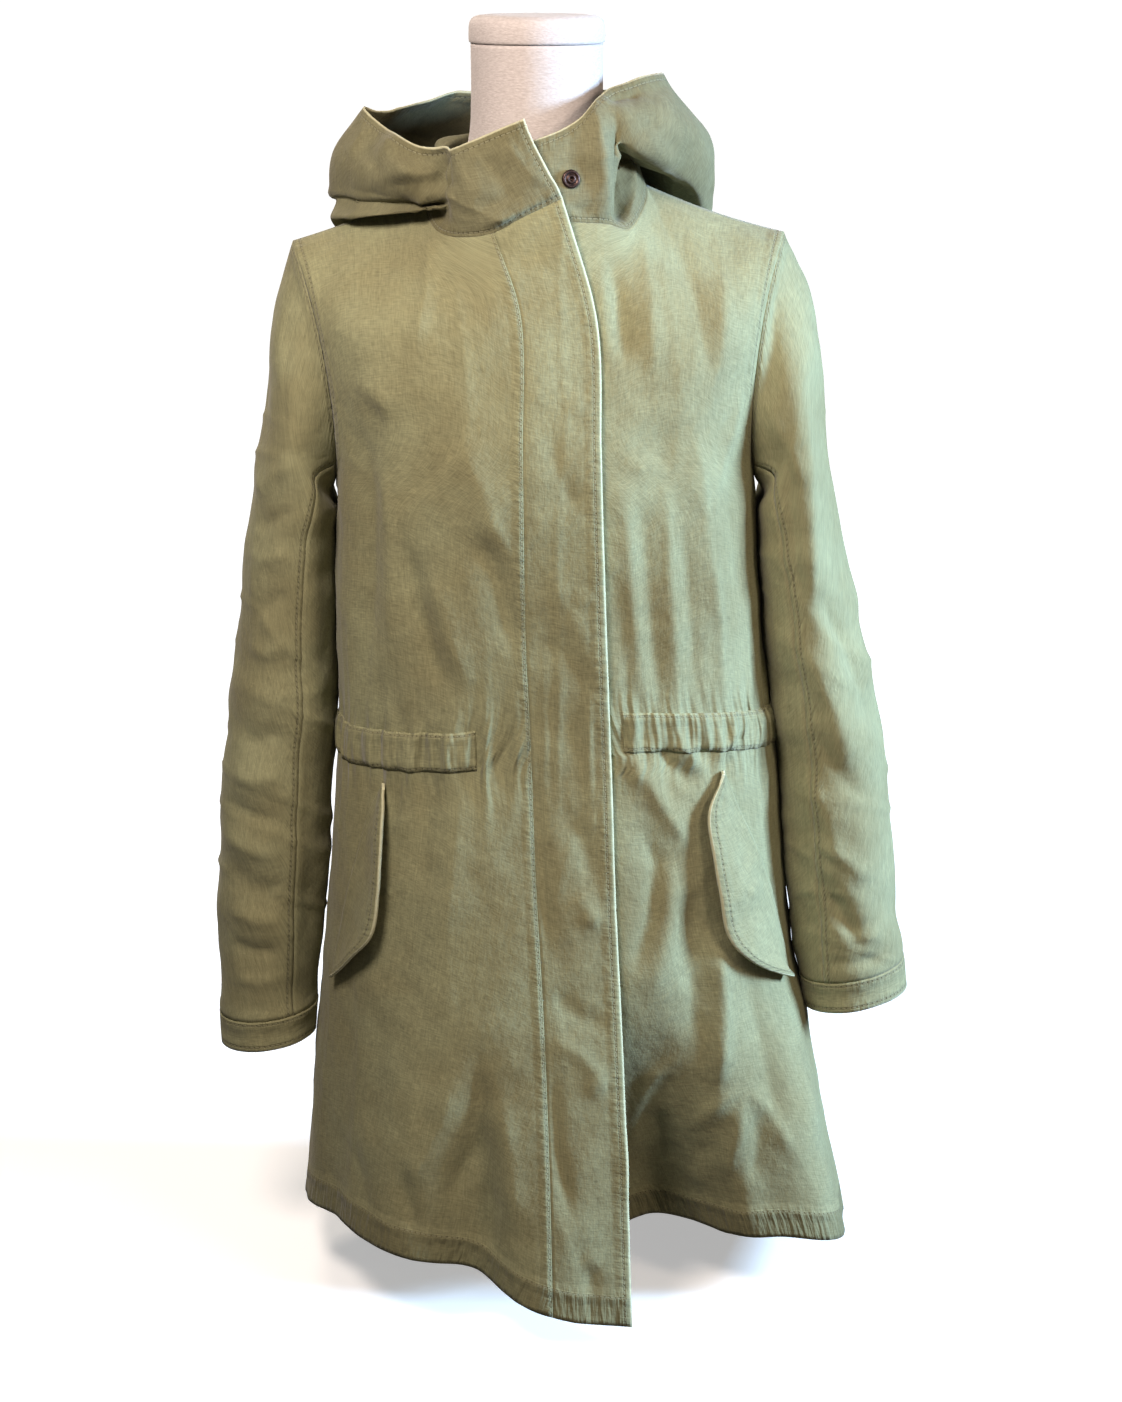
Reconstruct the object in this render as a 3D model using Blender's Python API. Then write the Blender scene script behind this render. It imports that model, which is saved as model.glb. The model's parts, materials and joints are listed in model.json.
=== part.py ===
"""Hooded field jacket on a limbless dress form, open at the neck, with its hood down.

Metres, +Z up. The jacket faces -Y, the wearer's left is +X. The origin is on the
floor, under the neck of the dress form, which stands on its own flat foot.

Every cloth piece is a wall between an outer and an inner grid of points. The grids
come from a few sections: rings round the body, rings round each sleeve, and
sections of the hood round the neck. "turn" is an angle in degrees round the body,
0 at the wearer's left side, 90 at the back, 180 at the right side, 270 in front.
"""

from collections import namedtuple
from math import acos, copysign, cos, exp, pi, radians, sin

import bmesh
import bpy
import numpy as np

# ---------------------------------------------------------------- driving sizes

CLOTH = 0.0018          # one thickness of washed cotton canvas with its seam bulk
PLACKET = 0.0028        # the fly placket is folded double
CUFF = 0.0026           # so are the cuffs
TRIM = 0.0012           # waist casing
FLAP = 0.0026           # two plies of canvas, turned out
SEAM_GAP = 0.0003       # between pieces that are sewn edge to edge
LAY_GAP = 0.0004        # between a piece and what it lies on

UNDERARM_Z = 0.700
NECK_POINT_ANGLE = 86.0                  # where the shoulder seam meets the neckline
CUFF_TALL = 0.027

# Samples along and across the pieces
BODY_ROWS, YOKE_ROWS = 15, 10
SHOULDER_COLUMNS, FRONT_NECK_COLUMNS, BACK_NECK_COLUMNS = 5, 7, 10
FRONT_COLUMNS = SHOULDER_COLUMNS + FRONT_NECK_COLUMNS
BACK_COLUMNS = 2 * SHOULDER_COLUMNS + BACK_NECK_COLUMNS
PLACKET_COLUMNS = 3
SLEEVE_ROWS, UNDER_COLUMNS, TOP_COLUMNS = 14, 6, 14
HOOD_ROWS = 15

# ---------------------------------------------------------------- tables

# Rings round the body. Above the underarm they run on as if the arm were not there.
Ring = namedtuple("Ring", "z right_x left_x front_y under_y back_y square")
RINGS = [
    Ring(0.020, -0.212, 0.272, -0.196, -0.110, 0.160, 2.15),
    Ring(0.100, -0.203, 0.256, -0.184, -0.118, 0.151, 2.15),
    Ring(0.200, -0.193, 0.233, -0.170, -0.136, 0.141, 2.20),
    Ring(0.300, -0.183, 0.216, -0.155, -0.146, 0.132, 2.25),
    Ring(0.400, -0.175, 0.205, -0.142, -0.1365, 0.123, 2.30),
    Ring(0.500, -0.168, 0.195, -0.131, -0.126, 0.112, 2.35),
    Ring(0.600, -0.170, 0.184, -0.134, -0.129, 0.110, 2.35),
    Ring(0.700, -0.167, 0.179, -0.141, -0.136, 0.116, 2.30),
    Ring(0.760, -0.186, 0.190, -0.138, -0.133, 0.121, 2.30),
    Ring(0.820, -0.195, 0.197, -0.127, -0.122, 0.117, 2.30),
    Ring(0.870, -0.200, 0.200, -0.112, -0.107, 0.100, 2.20),
]

# The front edges and the hem line, by height or by share of the way to the edge.
Edge = namedtuple("Edge", "z stitch_x edge_x under_x")
EDGES = [
    Edge(0.020, 0.0130, 0.0780, 0.000),
    Edge(0.150, 0.0100, 0.0740, -0.002),
    Edge(0.280, 0.0050, 0.0685, -0.008),
    Edge(0.400, -0.0015, 0.0625, -0.014),
    Edge(0.500, -0.0050, 0.0590, -0.018),
    Edge(0.600, -0.0092, 0.0550, -0.020),
    Edge(0.700, -0.0100, 0.0515, -0.020),
    Edge(0.790, -0.0110, 0.0492, -0.020),
    Edge(0.860, -0.0125, 0.0455, -0.019),
    Edge(0.900, -0.0240, 0.0345, -0.018),
    Edge(0.935, -0.0330, 0.0205, -0.018),
]
Hem = namedtuple("Hem", "share over_z under_z")
HEM = [
    Hem(0.00, 0.058, 0.042),
    Hem(0.20, 0.072, 0.050),
    Hem(0.40, 0.077, 0.064),
    Hem(0.60, 0.066, 0.064),
    Hem(0.80, 0.036, 0.062),
    Hem(1.00, 0.024, 0.062),
]

# Soft folds that grow towards the hem: where, from which height, how far out.
Fold = namedtuple("Fold", "piece top_turn hem_turn top_z out width")
FOLDS = [
    Fold("over", 253, 249, 0.250, -0.022, 8),
    Fold("over", 236, 231, 0.330, 0.009, 12),
    Fold("over", 212, 206, 0.380, -0.007, 9),
    Fold("over", 267, 266, 0.260, 0.006, 8),
    Fold("under", 287, 291, 0.300, -0.050, 14),
    Fold("under", 303, 308, 0.330, 0.010, 9),
    Fold("under", 315, 320, 0.240, -0.008, 8),
    Fold("under", 328, 334, 0.420, 0.016, 12),
    Fold("back", 28, 24, 0.400, 0.012, 11),
    Fold("back", 50, 47, 0.340, -0.014, 10),
    Fold("back", 72, 70, 0.430, 0.014, 12),
    Fold("back", 96, 98, 0.360, -0.012, 10),
    Fold("back", 118, 121, 0.430, 0.013, 12),
    Fold("back", 142, 146, 0.330, -0.013, 10),
    Fold("back", 162, 166, 0.300, 0.007, 9),
]

# The neckline seam, by angle round the neck: 0 in front, 90 at the right side,
# 180 at the back and -90 at the left side. The left front lies under the right one.
Neck = namedtuple("Neck", "angle out z")
NECK_RIGHT = [
    Neck(-13, 0.0980, 0.937),
    Neck(8, 0.0985, 0.920),
    Neck(20, 0.1010, 0.909),
    Neck(36, 0.1030, 0.905),
    Neck(48, 0.1020, 0.907),
    Neck(62, 0.0960, 0.915),
    Neck(86, 0.0870, 0.937),
    Neck(130, 0.0780, 0.951),
    Neck(180, 0.0700, 0.957),
]
NECK_LEFT = [
    Neck(-180, 0.0700, 0.957),
    Neck(-130, 0.0780, 0.951),
    Neck(-86, 0.0870, 0.938),
    Neck(-62, 0.0930, 0.921),
    Neck(-46, 0.0990, 0.910),
    Neck(-34, 0.0975, 0.915),
    Neck(-20, 0.0950, 0.917),
    Neck(0, 0.0930, 0.919),
    Neck(12, 0.0925, 0.920),
]
RIGHT_NECK_ENDS = (NECK_POINT_ANGLE, 19.0, -12.0)   # neck point, stitch line, front edge
LEFT_NECK_ENDS = (-NECK_POINT_ANGLE, 11.0)         # neck point, hidden front edge

# Sections of the hood round the neck, from the seam to the free edge. It stands up
# (rise), falls outwards (drop), turns up again (belly), and ends at the free edge.
Section = namedtuple(
    "Section",
    "angle rise_r rise_z drop_r drop_z belly_r belly_z wall_r wall_z edge_r edge_z lean",
)
HOOD_RIGHT = [
    Section(-13, 0.098, 0.949, 0.097, 0.958, 0.096, 0.967, 0.095, 0.980, 0.092, 0.996, 18),
    Section(20, 0.101, 0.925, 0.101, 0.935, 0.101, 0.947, 0.099, 0.965, 0.096, 0.983, 4),
    Section(40, 0.101, 0.921, 0.101, 0.931, 0.102, 0.941, 0.104, 0.954, 0.105, 0.970, 3),
    Section(52, 0.091, 0.924, 0.096, 0.934, 0.111, 0.938, 0.117, 0.952, 0.110, 0.974, 0),
    Section(65, 0.086, 0.943, 0.102, 0.940, 0.132, 0.932, 0.139, 0.952, 0.124, 0.986, 0),
    Section(80, 0.082, 0.955, 0.106, 0.940, 0.152, 0.926, 0.159, 0.950, 0.136, 0.996, 0),
    Section(94, 0.080, 0.962, 0.110, 0.936, 0.158, 0.916, 0.166, 0.946, 0.136, 0.997, 0),
    Section(112, 0.079, 0.967, 0.116, 0.925, 0.158, 0.895, 0.170, 0.935, 0.130, 0.986, 0),
    Section(135, 0.078, 0.971, 0.124, 0.890, 0.158, 0.850, 0.177, 0.910, 0.126, 0.990, 0),
    Section(158, 0.077, 0.975, 0.126, 0.870, 0.160, 0.820, 0.184, 0.893, 0.120, 1.000, 0),
    Section(180, 0.076, 0.977, 0.126, 0.862, 0.161, 0.808, 0.188, 0.886, 0.118, 1.002, 0),
]
HOOD_LEFT = [
    Section(12, 0.093, 0.925, 0.092, 0.935, 0.090, 0.946, 0.087, 0.960, 0.083, 0.974, 0),
    Section(-8, 0.092, 0.933, 0.091, 0.943, 0.088, 0.954, 0.084, 0.967, 0.077, 0.981, 2),
    Section(-28, 0.093, 0.931, 0.091, 0.943, 0.086, 0.957, 0.079, 0.975, 0.068, 0.994, -4),
    Section(-45, 0.092, 0.928, 0.089, 0.942, 0.084, 0.960, 0.076, 0.982, 0.064, 1.004, -9),
    Section(-58, 0.084, 0.944, 0.079, 0.964, 0.082, 0.970, 0.088, 0.988, 0.068, 1.012, -6),
    Section(-70, 0.079, 0.956, 0.084, 0.968, 0.104, 0.955, 0.108, 0.982, 0.080, 1.019, 0),
    Section(-84, 0.078, 0.964, 0.096, 0.955, 0.124, 0.936, 0.127, 0.970, 0.089, 1.023, 0),
    Section(-96, 0.078, 0.968, 0.104, 0.945, 0.136, 0.921, 0.137, 0.958, 0.096, 1.022, 0),
    Section(-114, 0.078, 0.971, 0.114, 0.922, 0.146, 0.892, 0.154, 0.940, 0.108, 1.015, 0),
    Section(-135, 0.078, 0.973, 0.122, 0.890, 0.156, 0.850, 0.171, 0.912, 0.116, 1.008, 0),
    Section(-158, 0.077, 0.975, 0.126, 0.870, 0.160, 0.820, 0.183, 0.893, 0.118, 1.004, 0),
    Section(-180, 0.076, 0.977, 0.126, 0.862, 0.161, 0.808, 0.188, 0.886, 0.118, 1.002, 0),
]

# Rings down each sleeve: its inner and outer point, half its depth, and its middle.
Cuffward = namedtuple("Cuffward", "inner_x inner_z outer_x outer_z deep mid_y")
SLEEVE_RIGHT = [
    Cuffward(0.1670, 0.700, 0.1970, 0.893, 0.064, 0.000),
    Cuffward(0.1700, 0.688, 0.2165, 0.835, 0.074, 0.002),
    Cuffward(0.1686, 0.670, 0.2225, 0.762, 0.077, 0.004),
    Cuffward(0.1708, 0.632, 0.2315, 0.700, 0.075, 0.006),
    Cuffward(0.1714, 0.570, 0.2440, 0.625, 0.070, 0.006),
    Cuffward(0.1704, 0.498, 0.2570, 0.528, 0.064, 0.002),
    Cuffward(0.1762, 0.420, 0.2690, 0.430, 0.058, -0.006),
    Cuffward(0.1828, 0.332, 0.2775, 0.327, 0.051, -0.014),
    Cuffward(0.1912, 0.246, 0.2755, 0.237, 0.044, -0.020),
]
SLEEVE_LEFT = [
    Cuffward(0.1790, 0.700, 0.1985, 0.900, 0.064, 0.000),
    Cuffward(0.1845, 0.688, 0.2190, 0.842, 0.074, 0.002),
    Cuffward(0.1814, 0.668, 0.2320, 0.768, 0.077, 0.004),
    Cuffward(0.1846, 0.622, 0.2430, 0.702, 0.075, 0.006),
    Cuffward(0.1906, 0.565, 0.2600, 0.618, 0.070, 0.006),
    Cuffward(0.1992, 0.490, 0.2800, 0.528, 0.064, 0.002),
    Cuffward(0.2072, 0.412, 0.2945, 0.430, 0.058, -0.006),
    Cuffward(0.2140, 0.344, 0.3050, 0.350, 0.052, -0.014),
    Cuffward(0.2245, 0.270, 0.3130, 0.288, 0.045, -0.020),
]
SCOOP_FRONT, SCOOP_BACK = 0.015, 0.006    # how far the armhole is cut into the body

# The sleeve's two long seams, as angles round the sleeve: 0 outside, 90 in front.
SleeveSeam = namedtuple("SleeveSeam", "share front back")
SLEEVE_SEAMS = [
    SleeveSeam(0.00, 144, 252),
    SleeveSeam(0.25, 122, 256),
    SleeveSeam(0.50, 114, 260),
    SleeveSeam(1.00, 126, 264),
]

# The waist casing by turn round the body: its middle height.
Waist = namedtuple("Waist", "turn z")
WAIST = [
    Waist(-90, 0.5200),
    Waist(-50, 0.5100),
    Waist(0, 0.4945),
    Waist(90, 0.4960),
    Waist(180, 0.4870),
    Waist(240, 0.4970),
    Waist(270, 0.5080),
]
CASING_START_X, CASING_END_X = 0.068, -0.0495
CASING_HALF = 0.0165
GATHERS = 46

# Pocket flaps: the sewn edge, the loose edge, and how far the loose edge stands off.
FlapRow = namedtuple("FlapRow", "sewn_x sewn_z loose_x loose_z off")
FLAP_LEFT = [
    FlapRow(0.1500, 0.477, 0.1480, 0.473, 0.002),
    FlapRow(0.1580, 0.456, 0.1345, 0.446, 0.007),
    FlapRow(0.1720, 0.423, 0.1370, 0.411, 0.011),
    FlapRow(0.1860, 0.388, 0.1420, 0.376, 0.013),
    FlapRow(0.1960, 0.352, 0.1490, 0.342, 0.013),
    FlapRow(0.2035, 0.318, 0.1660, 0.318, 0.012),
    FlapRow(0.2090, 0.288, 0.2040, 0.285, 0.006),
]
FLAP_RIGHT = [
    FlapRow(0.1250, 0.466, 0.1225, 0.463, 0.002),
    FlapRow(0.1340, 0.446, 0.1190, 0.447, 0.008),
    FlapRow(0.1440, 0.412, 0.1190, 0.412, 0.012),
    FlapRow(0.1520, 0.378, 0.1210, 0.378, 0.014),
    FlapRow(0.1590, 0.345, 0.1265, 0.342, 0.014),
    FlapRow(0.1650, 0.316, 0.1440, 0.317, 0.012),
    FlapRow(0.1700, 0.290, 0.1680, 0.287, 0.006),
]
FLAP_ROWS, FLAP_COLUMNS = 10, 4

# The dress form, from its flat foot up to the top of its neck: half sizes.
FormRing = namedtuple("FormRing", "z wide deep mid_x mid_y square")
FORM = [
    FormRing(0.000, 0.078, 0.070, -0.006, 0.012, 2.0),
    FormRing(0.010, 0.083, 0.075, -0.006, 0.012, 2.0),
    FormRing(0.100, 0.098, 0.084, 0.000, 0.010, 2.1),
    FormRing(0.180, 0.120, 0.092, 0.004, 0.007, 2.2),
    FormRing(0.260, 0.141, 0.099, 0.007, 0.004, 2.2),
    FormRing(0.340, 0.150, 0.102, 0.008, 0.002, 2.2),
    FormRing(0.420, 0.142, 0.096, 0.007, 0.000, 2.2),
    FormRing(0.500, 0.126, 0.086, 0.006, -0.004, 2.2),
    FormRing(0.580, 0.134, 0.094, 0.005, -0.007, 2.2),
    FormRing(0.680, 0.150, 0.108, 0.003, -0.010, 2.2),
    FormRing(0.740, 0.156, 0.106, 0.001, -0.007, 2.2),
    FormRing(0.800, 0.160, 0.092, 0.000, -0.004, 2.1),
    FormRing(0.850, 0.170, 0.068, 0.000, -0.002, 2.0),
    FormRing(0.878, 0.177, 0.044, 0.000, 0.000, 2.0),
    FormRing(0.893, 0.168, 0.030, 0.000, -0.001, 2.0),
    FormRing(0.905, 0.140, 0.031, 0.000, -0.003, 2.0),
    FormRing(0.919, 0.107, 0.036, 0.000, -0.004, 2.0),
    FormRing(0.934, 0.079, 0.043, 0.000, -0.004, 2.0),
    FormRing(0.952, 0.0620, 0.051, 0.000, 0.000, 2.0),
    FormRing(0.975, 0.0545, 0.0525, 0.000, 0.000, 2.0),
    FormRing(1.005, 0.0525, 0.0525, 0.000, 0.000, 2.0),
    FormRing(1.0475, 0.0525, 0.0525, 0.000, 0.000, 2.0),
]
FORM_RINGS, FORM_SIDES = 27, 28
CapRing = namedtuple("CapRing", "z radius")
CAP = [
    CapRing(1.0478, 0.0500),
    CapRing(1.0486, 0.0534),
    CapRing(1.0540, 0.0541),
    CapRing(1.0630, 0.0536),
    CapRing(1.0678, 0.0505),
    CapRing(1.0695, 0.0420),
]
StudRing = namedtuple("StudRing", "out radius")
STUD = [
    StudRing(0.0003, 0.0068),
    StudRing(0.0010, 0.0073),
    StudRing(0.0024, 0.0070),
    StudRing(0.0032, 0.0058),
    StudRing(0.0028, 0.0042),
    StudRing(0.0034, 0.0030),
    StudRing(0.0034, 0.0015),
    StudRing(0.0020, 0.0010),
]
STUD_ANGLE, STUD_Z = -17.0, 0.949
STUD_SIDES = 20

# ---------------------------------------------------------------- small maths


def along(table, at):
    """A row between the rows of a table, by its first column, on a smooth curve."""
    keys = [row[0] for row in table]
    at = min(max(at, keys[0]), keys[-1]) if keys[0] < keys[-1] else min(max(at, keys[-1]), keys[0])
    if keys[0] > keys[-1]:
        table, keys = table[::-1], keys[::-1]
    i = min(max(int(np.searchsorted(keys, at)) - 1, 0), len(keys) - 2)
    rows = np.array(table, float)

    def slope(k):
        low, high = max(k - 1, 0), min(k + 1, len(keys) - 1)
        return (rows[high] - rows[low]) / (keys[high] - keys[low])

    wide = keys[i + 1] - keys[i]
    t = (at - keys[i]) / wide
    value = (
        rows[i] * (2 * t**3 - 3 * t**2 + 1)
        + slope(i) * wide * (t**3 - 2 * t**2 + t)
        + rows[i + 1] * (3 * t**2 - 2 * t**3)
        + slope(i + 1) * wide * (t**3 - t**2)
    )
    return type(table[0])(*value)


def by_share(table, share):
    """The same, for a table whose rows are evenly spread from 0 to 1."""
    last = len(table) - 1
    spread = [(i / last, *row) for i, row in enumerate(table)]
    wrapped = namedtuple("Wrapped", ("share", *table[0]._fields))
    return along([wrapped(*row) for row in spread], share)


def smooth(x):
    """0 below 0, 1 above 1, and an even S between."""
    x = min(max(x, 0.0), 1.0)
    return x * x * (3 - 2 * x)


def unit(v):
    return v / max(np.linalg.norm(v), 1e-12)


def spaced(low, high, count):
    return np.linspace(low, high, count + 1)


def through(points, share):
    """A point at a share of the way along a smooth line through a few points."""
    last = len(points) - 1
    at = min(max(share, 0.0), 1.0) * last
    i = min(int(at), last - 1)
    t = at - i
    p = [np.array(points[min(max(k, 0), last)], float) for k in (i - 1, i, i + 1, i + 2)]
    if i == 0:
        p[0] = 2 * p[1] - p[2]
    if i == last - 1:
        p[3] = 2 * p[2] - p[1]
    return 0.5 * (
        2 * p[1] + (p[2] - p[0]) * t
        + (2 * p[0] - 5 * p[1] + 4 * p[2] - p[3]) * t**2
        + (3 * p[1] - p[0] - 3 * p[2] + p[3]) * t**3
    )


# ---------------------------------------------------------------- forms of the cloth


def fold_out(piece, turn, z):
    """How far the soft folds push the cloth out at a place, fading at the side seams."""
    out = 0.0
    for fold in FOLDS:
        if fold.piece == piece and z < fold.top_z:
            grown = 1 - z / fold.top_z
            middle = fold.top_turn + (fold.hem_turn - fold.top_turn) * grown
            out += fold.out * smooth(grown * 1.15) * exp(-(((turn - middle) / fold.width) ** 2))
    from_seam = min(abs(turn), abs(turn - 180), abs(turn - 360))
    return out * smooth(from_seam / 14)


def body_point(piece, turn, z):
    """A point of the cloth round the body, at an angle and a height."""
    ring = along(RINGS, z)
    middle, half = (ring.left_x + ring.right_x) / 2, (ring.left_x - ring.right_x) / 2
    c, s = cos(radians(turn)), sin(radians(turn))
    power = 2 / ring.square
    deep = ring.back_y
    if s < 0:
        deep = -ring.front_y
        if piece == "under":    # it lies behind the other front and meets the side seam
            deep = -ring.under_y + (ring.under_y - ring.front_y) * smooth((turn - 288) / 50)
    out = fold_out(piece, turn, z)
    return np.array([
        middle + copysign(abs(c) ** power, c) * half + c * out,
        copysign(abs(s) ** power, s) * deep + s * out,
        z,
    ])


def turn_at_x(x, z, front=True):
    """The angle round the body at which the cloth is at x."""
    ring = along(RINGS, z)
    middle, half = (ring.left_x + ring.right_x) / 2, (ring.left_x - ring.right_x) / 2
    share = min(max((x - middle) / half, -1.0), 1.0)
    turn = acos(copysign(abs(share) ** (ring.square / 2), share)) * 180 / pi
    return 360 - turn if front else turn


def armhole(side, angle):
    """A point of the armhole: angle 0 at the shoulder tip, 90 in front, 180 below."""
    return sleeve_point(side, angle, 0.0)


def sleeve_point(side, angle, share):
    """A point of a sleeve: share 0 at the armhole, 1 at the seam of the cuff."""
    ring = by_share(SLEEVE_LEFT if side == "left" else SLEEVE_RIGHT, share)
    c, s = cos(radians(angle)), sin(radians(angle))
    x = (ring.inner_x + ring.outer_x) / 2 + c * (ring.outer_x - ring.inner_x) / 2
    z = (ring.inner_z + ring.outer_z) / 2 + c * (ring.outer_z - ring.inner_z) / 2
    scoop = (SCOOP_FRONT if s > 0 else SCOOP_BACK) * abs(s) ** 1.5
    x -= scoop * (1 - smooth(share / 0.16))
    return np.array([x if side == "left" else -x, ring.mid_y - ring.deep * s, z])


def neckline(side, angle):
    """A point of the neckline seam, at an angle round the neck."""
    seam = along(NECK_LEFT if side == "left" else NECK_RIGHT, angle)
    a = radians(angle)
    return np.array([-sin(a) * seam.out, -cos(a) * seam.out, seam.z])


def shoulder_line(side, share):
    """The shoulder seam from the tip (0) to the neck point (1), slightly hollow."""
    sign = 1 if side == "left" else -1
    tip = armhole(side, 0)
    neck = neckline(side, -sign * NECK_POINT_ANGLE)
    return tip + (neck - tip) * share - np.array([0, 0, 0.003 * sin(pi * share)])


def hood_point(side, angle, share):
    """A point of the hood: share 0 at the neckline, 1 at the free edge."""
    table = HOOD_LEFT if side == "left" else HOOD_RIGHT
    s = along(table, angle)
    seam = along(NECK_LEFT if side == "left" else NECK_RIGHT, angle)
    line = [
        (seam.out, seam.z), (s.rise_r, s.rise_z), (s.drop_r, s.drop_z),
        (s.belly_r, s.belly_z), (s.wall_r, s.wall_z), (s.edge_r, s.edge_z),
    ]
    r, z = through(line, share)
    a = radians(angle + s.lean * share)
    return np.array([-sin(a) * r, -cos(a) * r, z])


# ---------------------------------------------------------------- grids of the panels


def hem_z(piece, share):
    """Height of the hem: along a front from its side seam, or across the back."""
    left, right = along(HEM, 0).under_z, along(HEM, 0).over_z
    if piece == "back":
        return left + (right - left) * share
    hem = along(HEM, share)
    return hem.over_z if piece == "over" else hem.under_z


def yoke(rows_below, guide, top, ends):
    """Rows from the underarm up to a top line, through guide rows, drawn to the ends.

    "ends" gives for each end column a point on the armhole, or None for a front edge.
    """
    lines = [rows_below[-2], rows_below[-1], guide(120), guide(60), top]
    count = len(top)
    rows = []
    for rise in spaced(0, 1, YOKE_ROWS)[1:]:
        at = (1 + 3 * rise) / 4
        row = [through([line[i] for line in lines], at) for i in range(count)]
        for i, exact in ((0, ends[0]), (count - 1, ends[1])):
            if exact is None:
                continue
            pull = exact(180 * (1 - rise)) - row[i]
            for j in range(count):
                near = 1 - abs(i - j) / (count - 1)
                row[j] = row[j] + pull * near**4
        rows.append(row)
    return rows


def front_grid(piece):
    """Outer points of a front: rows from hem to top, columns from side to front."""
    side, side_turn = ("right", 180.0) if piece == "over" else ("left", 360.0)
    shares = spaced(0, 1, FRONT_COLUMNS)
    hem_share = 0.8 if piece == "over" else 1.0

    def last_turn(z):
        edge = along(EDGES, z)
        return turn_at_x(edge.stitch_x if piece == "over" else edge.under_x, z)

    grid = []
    for rise in spaced(0, 1, BODY_ROWS):
        row = []
        for share in shares:
            low = hem_z(piece, share * hem_share)
            z = low + (UNDERARM_Z - low) * rise
            row.append(body_point(piece, side_turn + (last_turn(z) - side_turn) * share, z))
        grid.append(row)

    def guide(angle):
        start = armhole(side, angle)
        z = start[2]
        first = turn_at_x(start[0], z)
        pull = start - body_point(piece, first, z)
        return [
            body_point(piece, first + (last_turn(z) - first) * share, z) + pull * (1 - share) ** 2
            for share in shares
        ]

    ends = RIGHT_NECK_ENDS if piece == "over" else LEFT_NECK_ENDS
    top = [shoulder_line(side, i / SHOULDER_COLUMNS) for i in range(SHOULDER_COLUMNS)]
    top += [neckline(side, a) for a in spaced(ends[0], ends[1], FRONT_NECK_COLUMNS)]
    grid += yoke(grid, guide, top, (lambda angle: armhole(side, angle), None))
    return grid


def placket_grid():
    """Outer points of the fly placket: from the stitch line to the front edge."""
    shares = spaced(0, 1, PLACKET_COLUMNS)

    def at(z, share):
        edge = along(EDGES, z)
        x = edge.stitch_x + (edge.edge_x - edge.stitch_x) * share
        return body_point("over", turn_at_x(x, z), z)

    grid = []
    for rise in spaced(0, 1, BODY_ROWS):
        row = []
        for share in shares:
            low = hem_z("over", 0.8 + 0.2 * share)
            row.append(at(low + (UNDERARM_Z - low) * rise, share))
        grid.append(row)
    top = [neckline("right", a) for a in spaced(*RIGHT_NECK_ENDS[1:], PLACKET_COLUMNS)]

    def guide(angle):
        z = armhole("right", angle)[2]
        return [at(z, share) for share in shares]

    return grid + yoke(grid, guide, top, (None, None))


def back_grid():
    """Outer points of the back: columns from the left side seam to the right one."""
    shares = spaced(0, 1, BACK_COLUMNS)
    grid = []
    for rise in spaced(0, 1, BODY_ROWS):
        row = []
        for share in shares:
            low = hem_z("back", share)
            row.append(body_point("back", 180 * share, low + (UNDERARM_Z - low) * rise))
        grid.append(row)

    def guide(angle):
        left, right = armhole("left", 360 - angle), armhole("right", 360 - angle)
        row = []
        turns = [turn_at_x(p[0], p[2], front=False) for p in (left, right)]
        pulls = [p - body_point("back", t, p[2]) for p, t in zip((left, right), turns)]
        for share in shares:
            z = left[2] + (right[2] - left[2]) * share
            p = body_point("back", turns[0] + (turns[1] - turns[0]) * share, z)
            row.append(p + pulls[0] * (1 - share) ** 3 + pulls[1] * share**3)
        return row

    half = BACK_NECK_COLUMNS // 2
    top = [shoulder_line("left", i / SHOULDER_COLUMNS) for i in range(SHOULDER_COLUMNS)]
    top += [neckline("left", a) for a in spaced(-NECK_POINT_ANGLE, -180, half)]
    top += [neckline("right", a) for a in spaced(180, NECK_POINT_ANGLE, half)[1:]]
    top += [shoulder_line("right", 1 - i / SHOULDER_COLUMNS) for i in range(1, SHOULDER_COLUMNS + 1)]
    ends = (lambda angle: armhole("left", 360 - angle), lambda angle: armhole("right", 360 - angle))
    return grid + yoke(grid, guide, top, ends)


def sleeve_grid(side, part):
    """Outer points of the top sleeve or the under sleeve, from the armhole down."""
    grid = []
    for share in spaced(0, 1, SLEEVE_ROWS):
        share = share**1.15    # closer rows at the sleeve head
        seam = along(SLEEVE_SEAMS, share)
        if part == "under":
            angles = spaced(seam.front, seam.back, UNDER_COLUMNS)
        else:
            angles = spaced(seam.back, seam.front + 360, TOP_COLUMNS)
        grid.append([sleeve_point(side, angle, share) for angle in angles])
    return grid


def cuff_angles():
    """The sleeve's columns at its lower end, once round."""
    seam = along(SLEEVE_SEAMS, 1.0)
    under = spaced(seam.front, seam.back, UNDER_COLUMNS)
    top = spaced(seam.back, seam.front + 360, TOP_COLUMNS)
    return list(under) + list(top[1:-1])


def cuff_grid(side):
    """Outer points of a cuff: it runs on from the sleeve, nearly straight."""
    grid = []
    for share in (0.0, 0.5, 1.0):
        row = []
        for angle in cuff_angles():
            end, before = sleeve_point(side, angle, 1.0), sleeve_point(side, angle, 0.95)
            row.append(end + unit(end - before) * CUFF_TALL * share)
        grid.append(row)
    return grid


def hood_angles(side):
    """The columns of one half of the hood, the same as those of the neckline."""
    ends = RIGHT_NECK_ENDS if side == "right" else LEFT_NECK_ENDS
    sign = 1 if side == "right" else -1
    angles = []
    if side == "right":
        angles += list(spaced(ends[2], ends[1], PLACKET_COLUMNS))[:-1]
    angles += list(spaced(ends[1], ends[0], FRONT_NECK_COLUMNS))[:-1]
    angles += list(spaced(ends[0], sign * 180, BACK_NECK_COLUMNS // 2))
    return angles


def hood_grid(side):
    """Outer points of one half of the hood, from the neckline to the free edge."""
    return [
        [hood_point(side, angle, share) for angle in hood_angles(side)]
        for share in spaced(0, 1, HOOD_ROWS)
    ]


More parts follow.
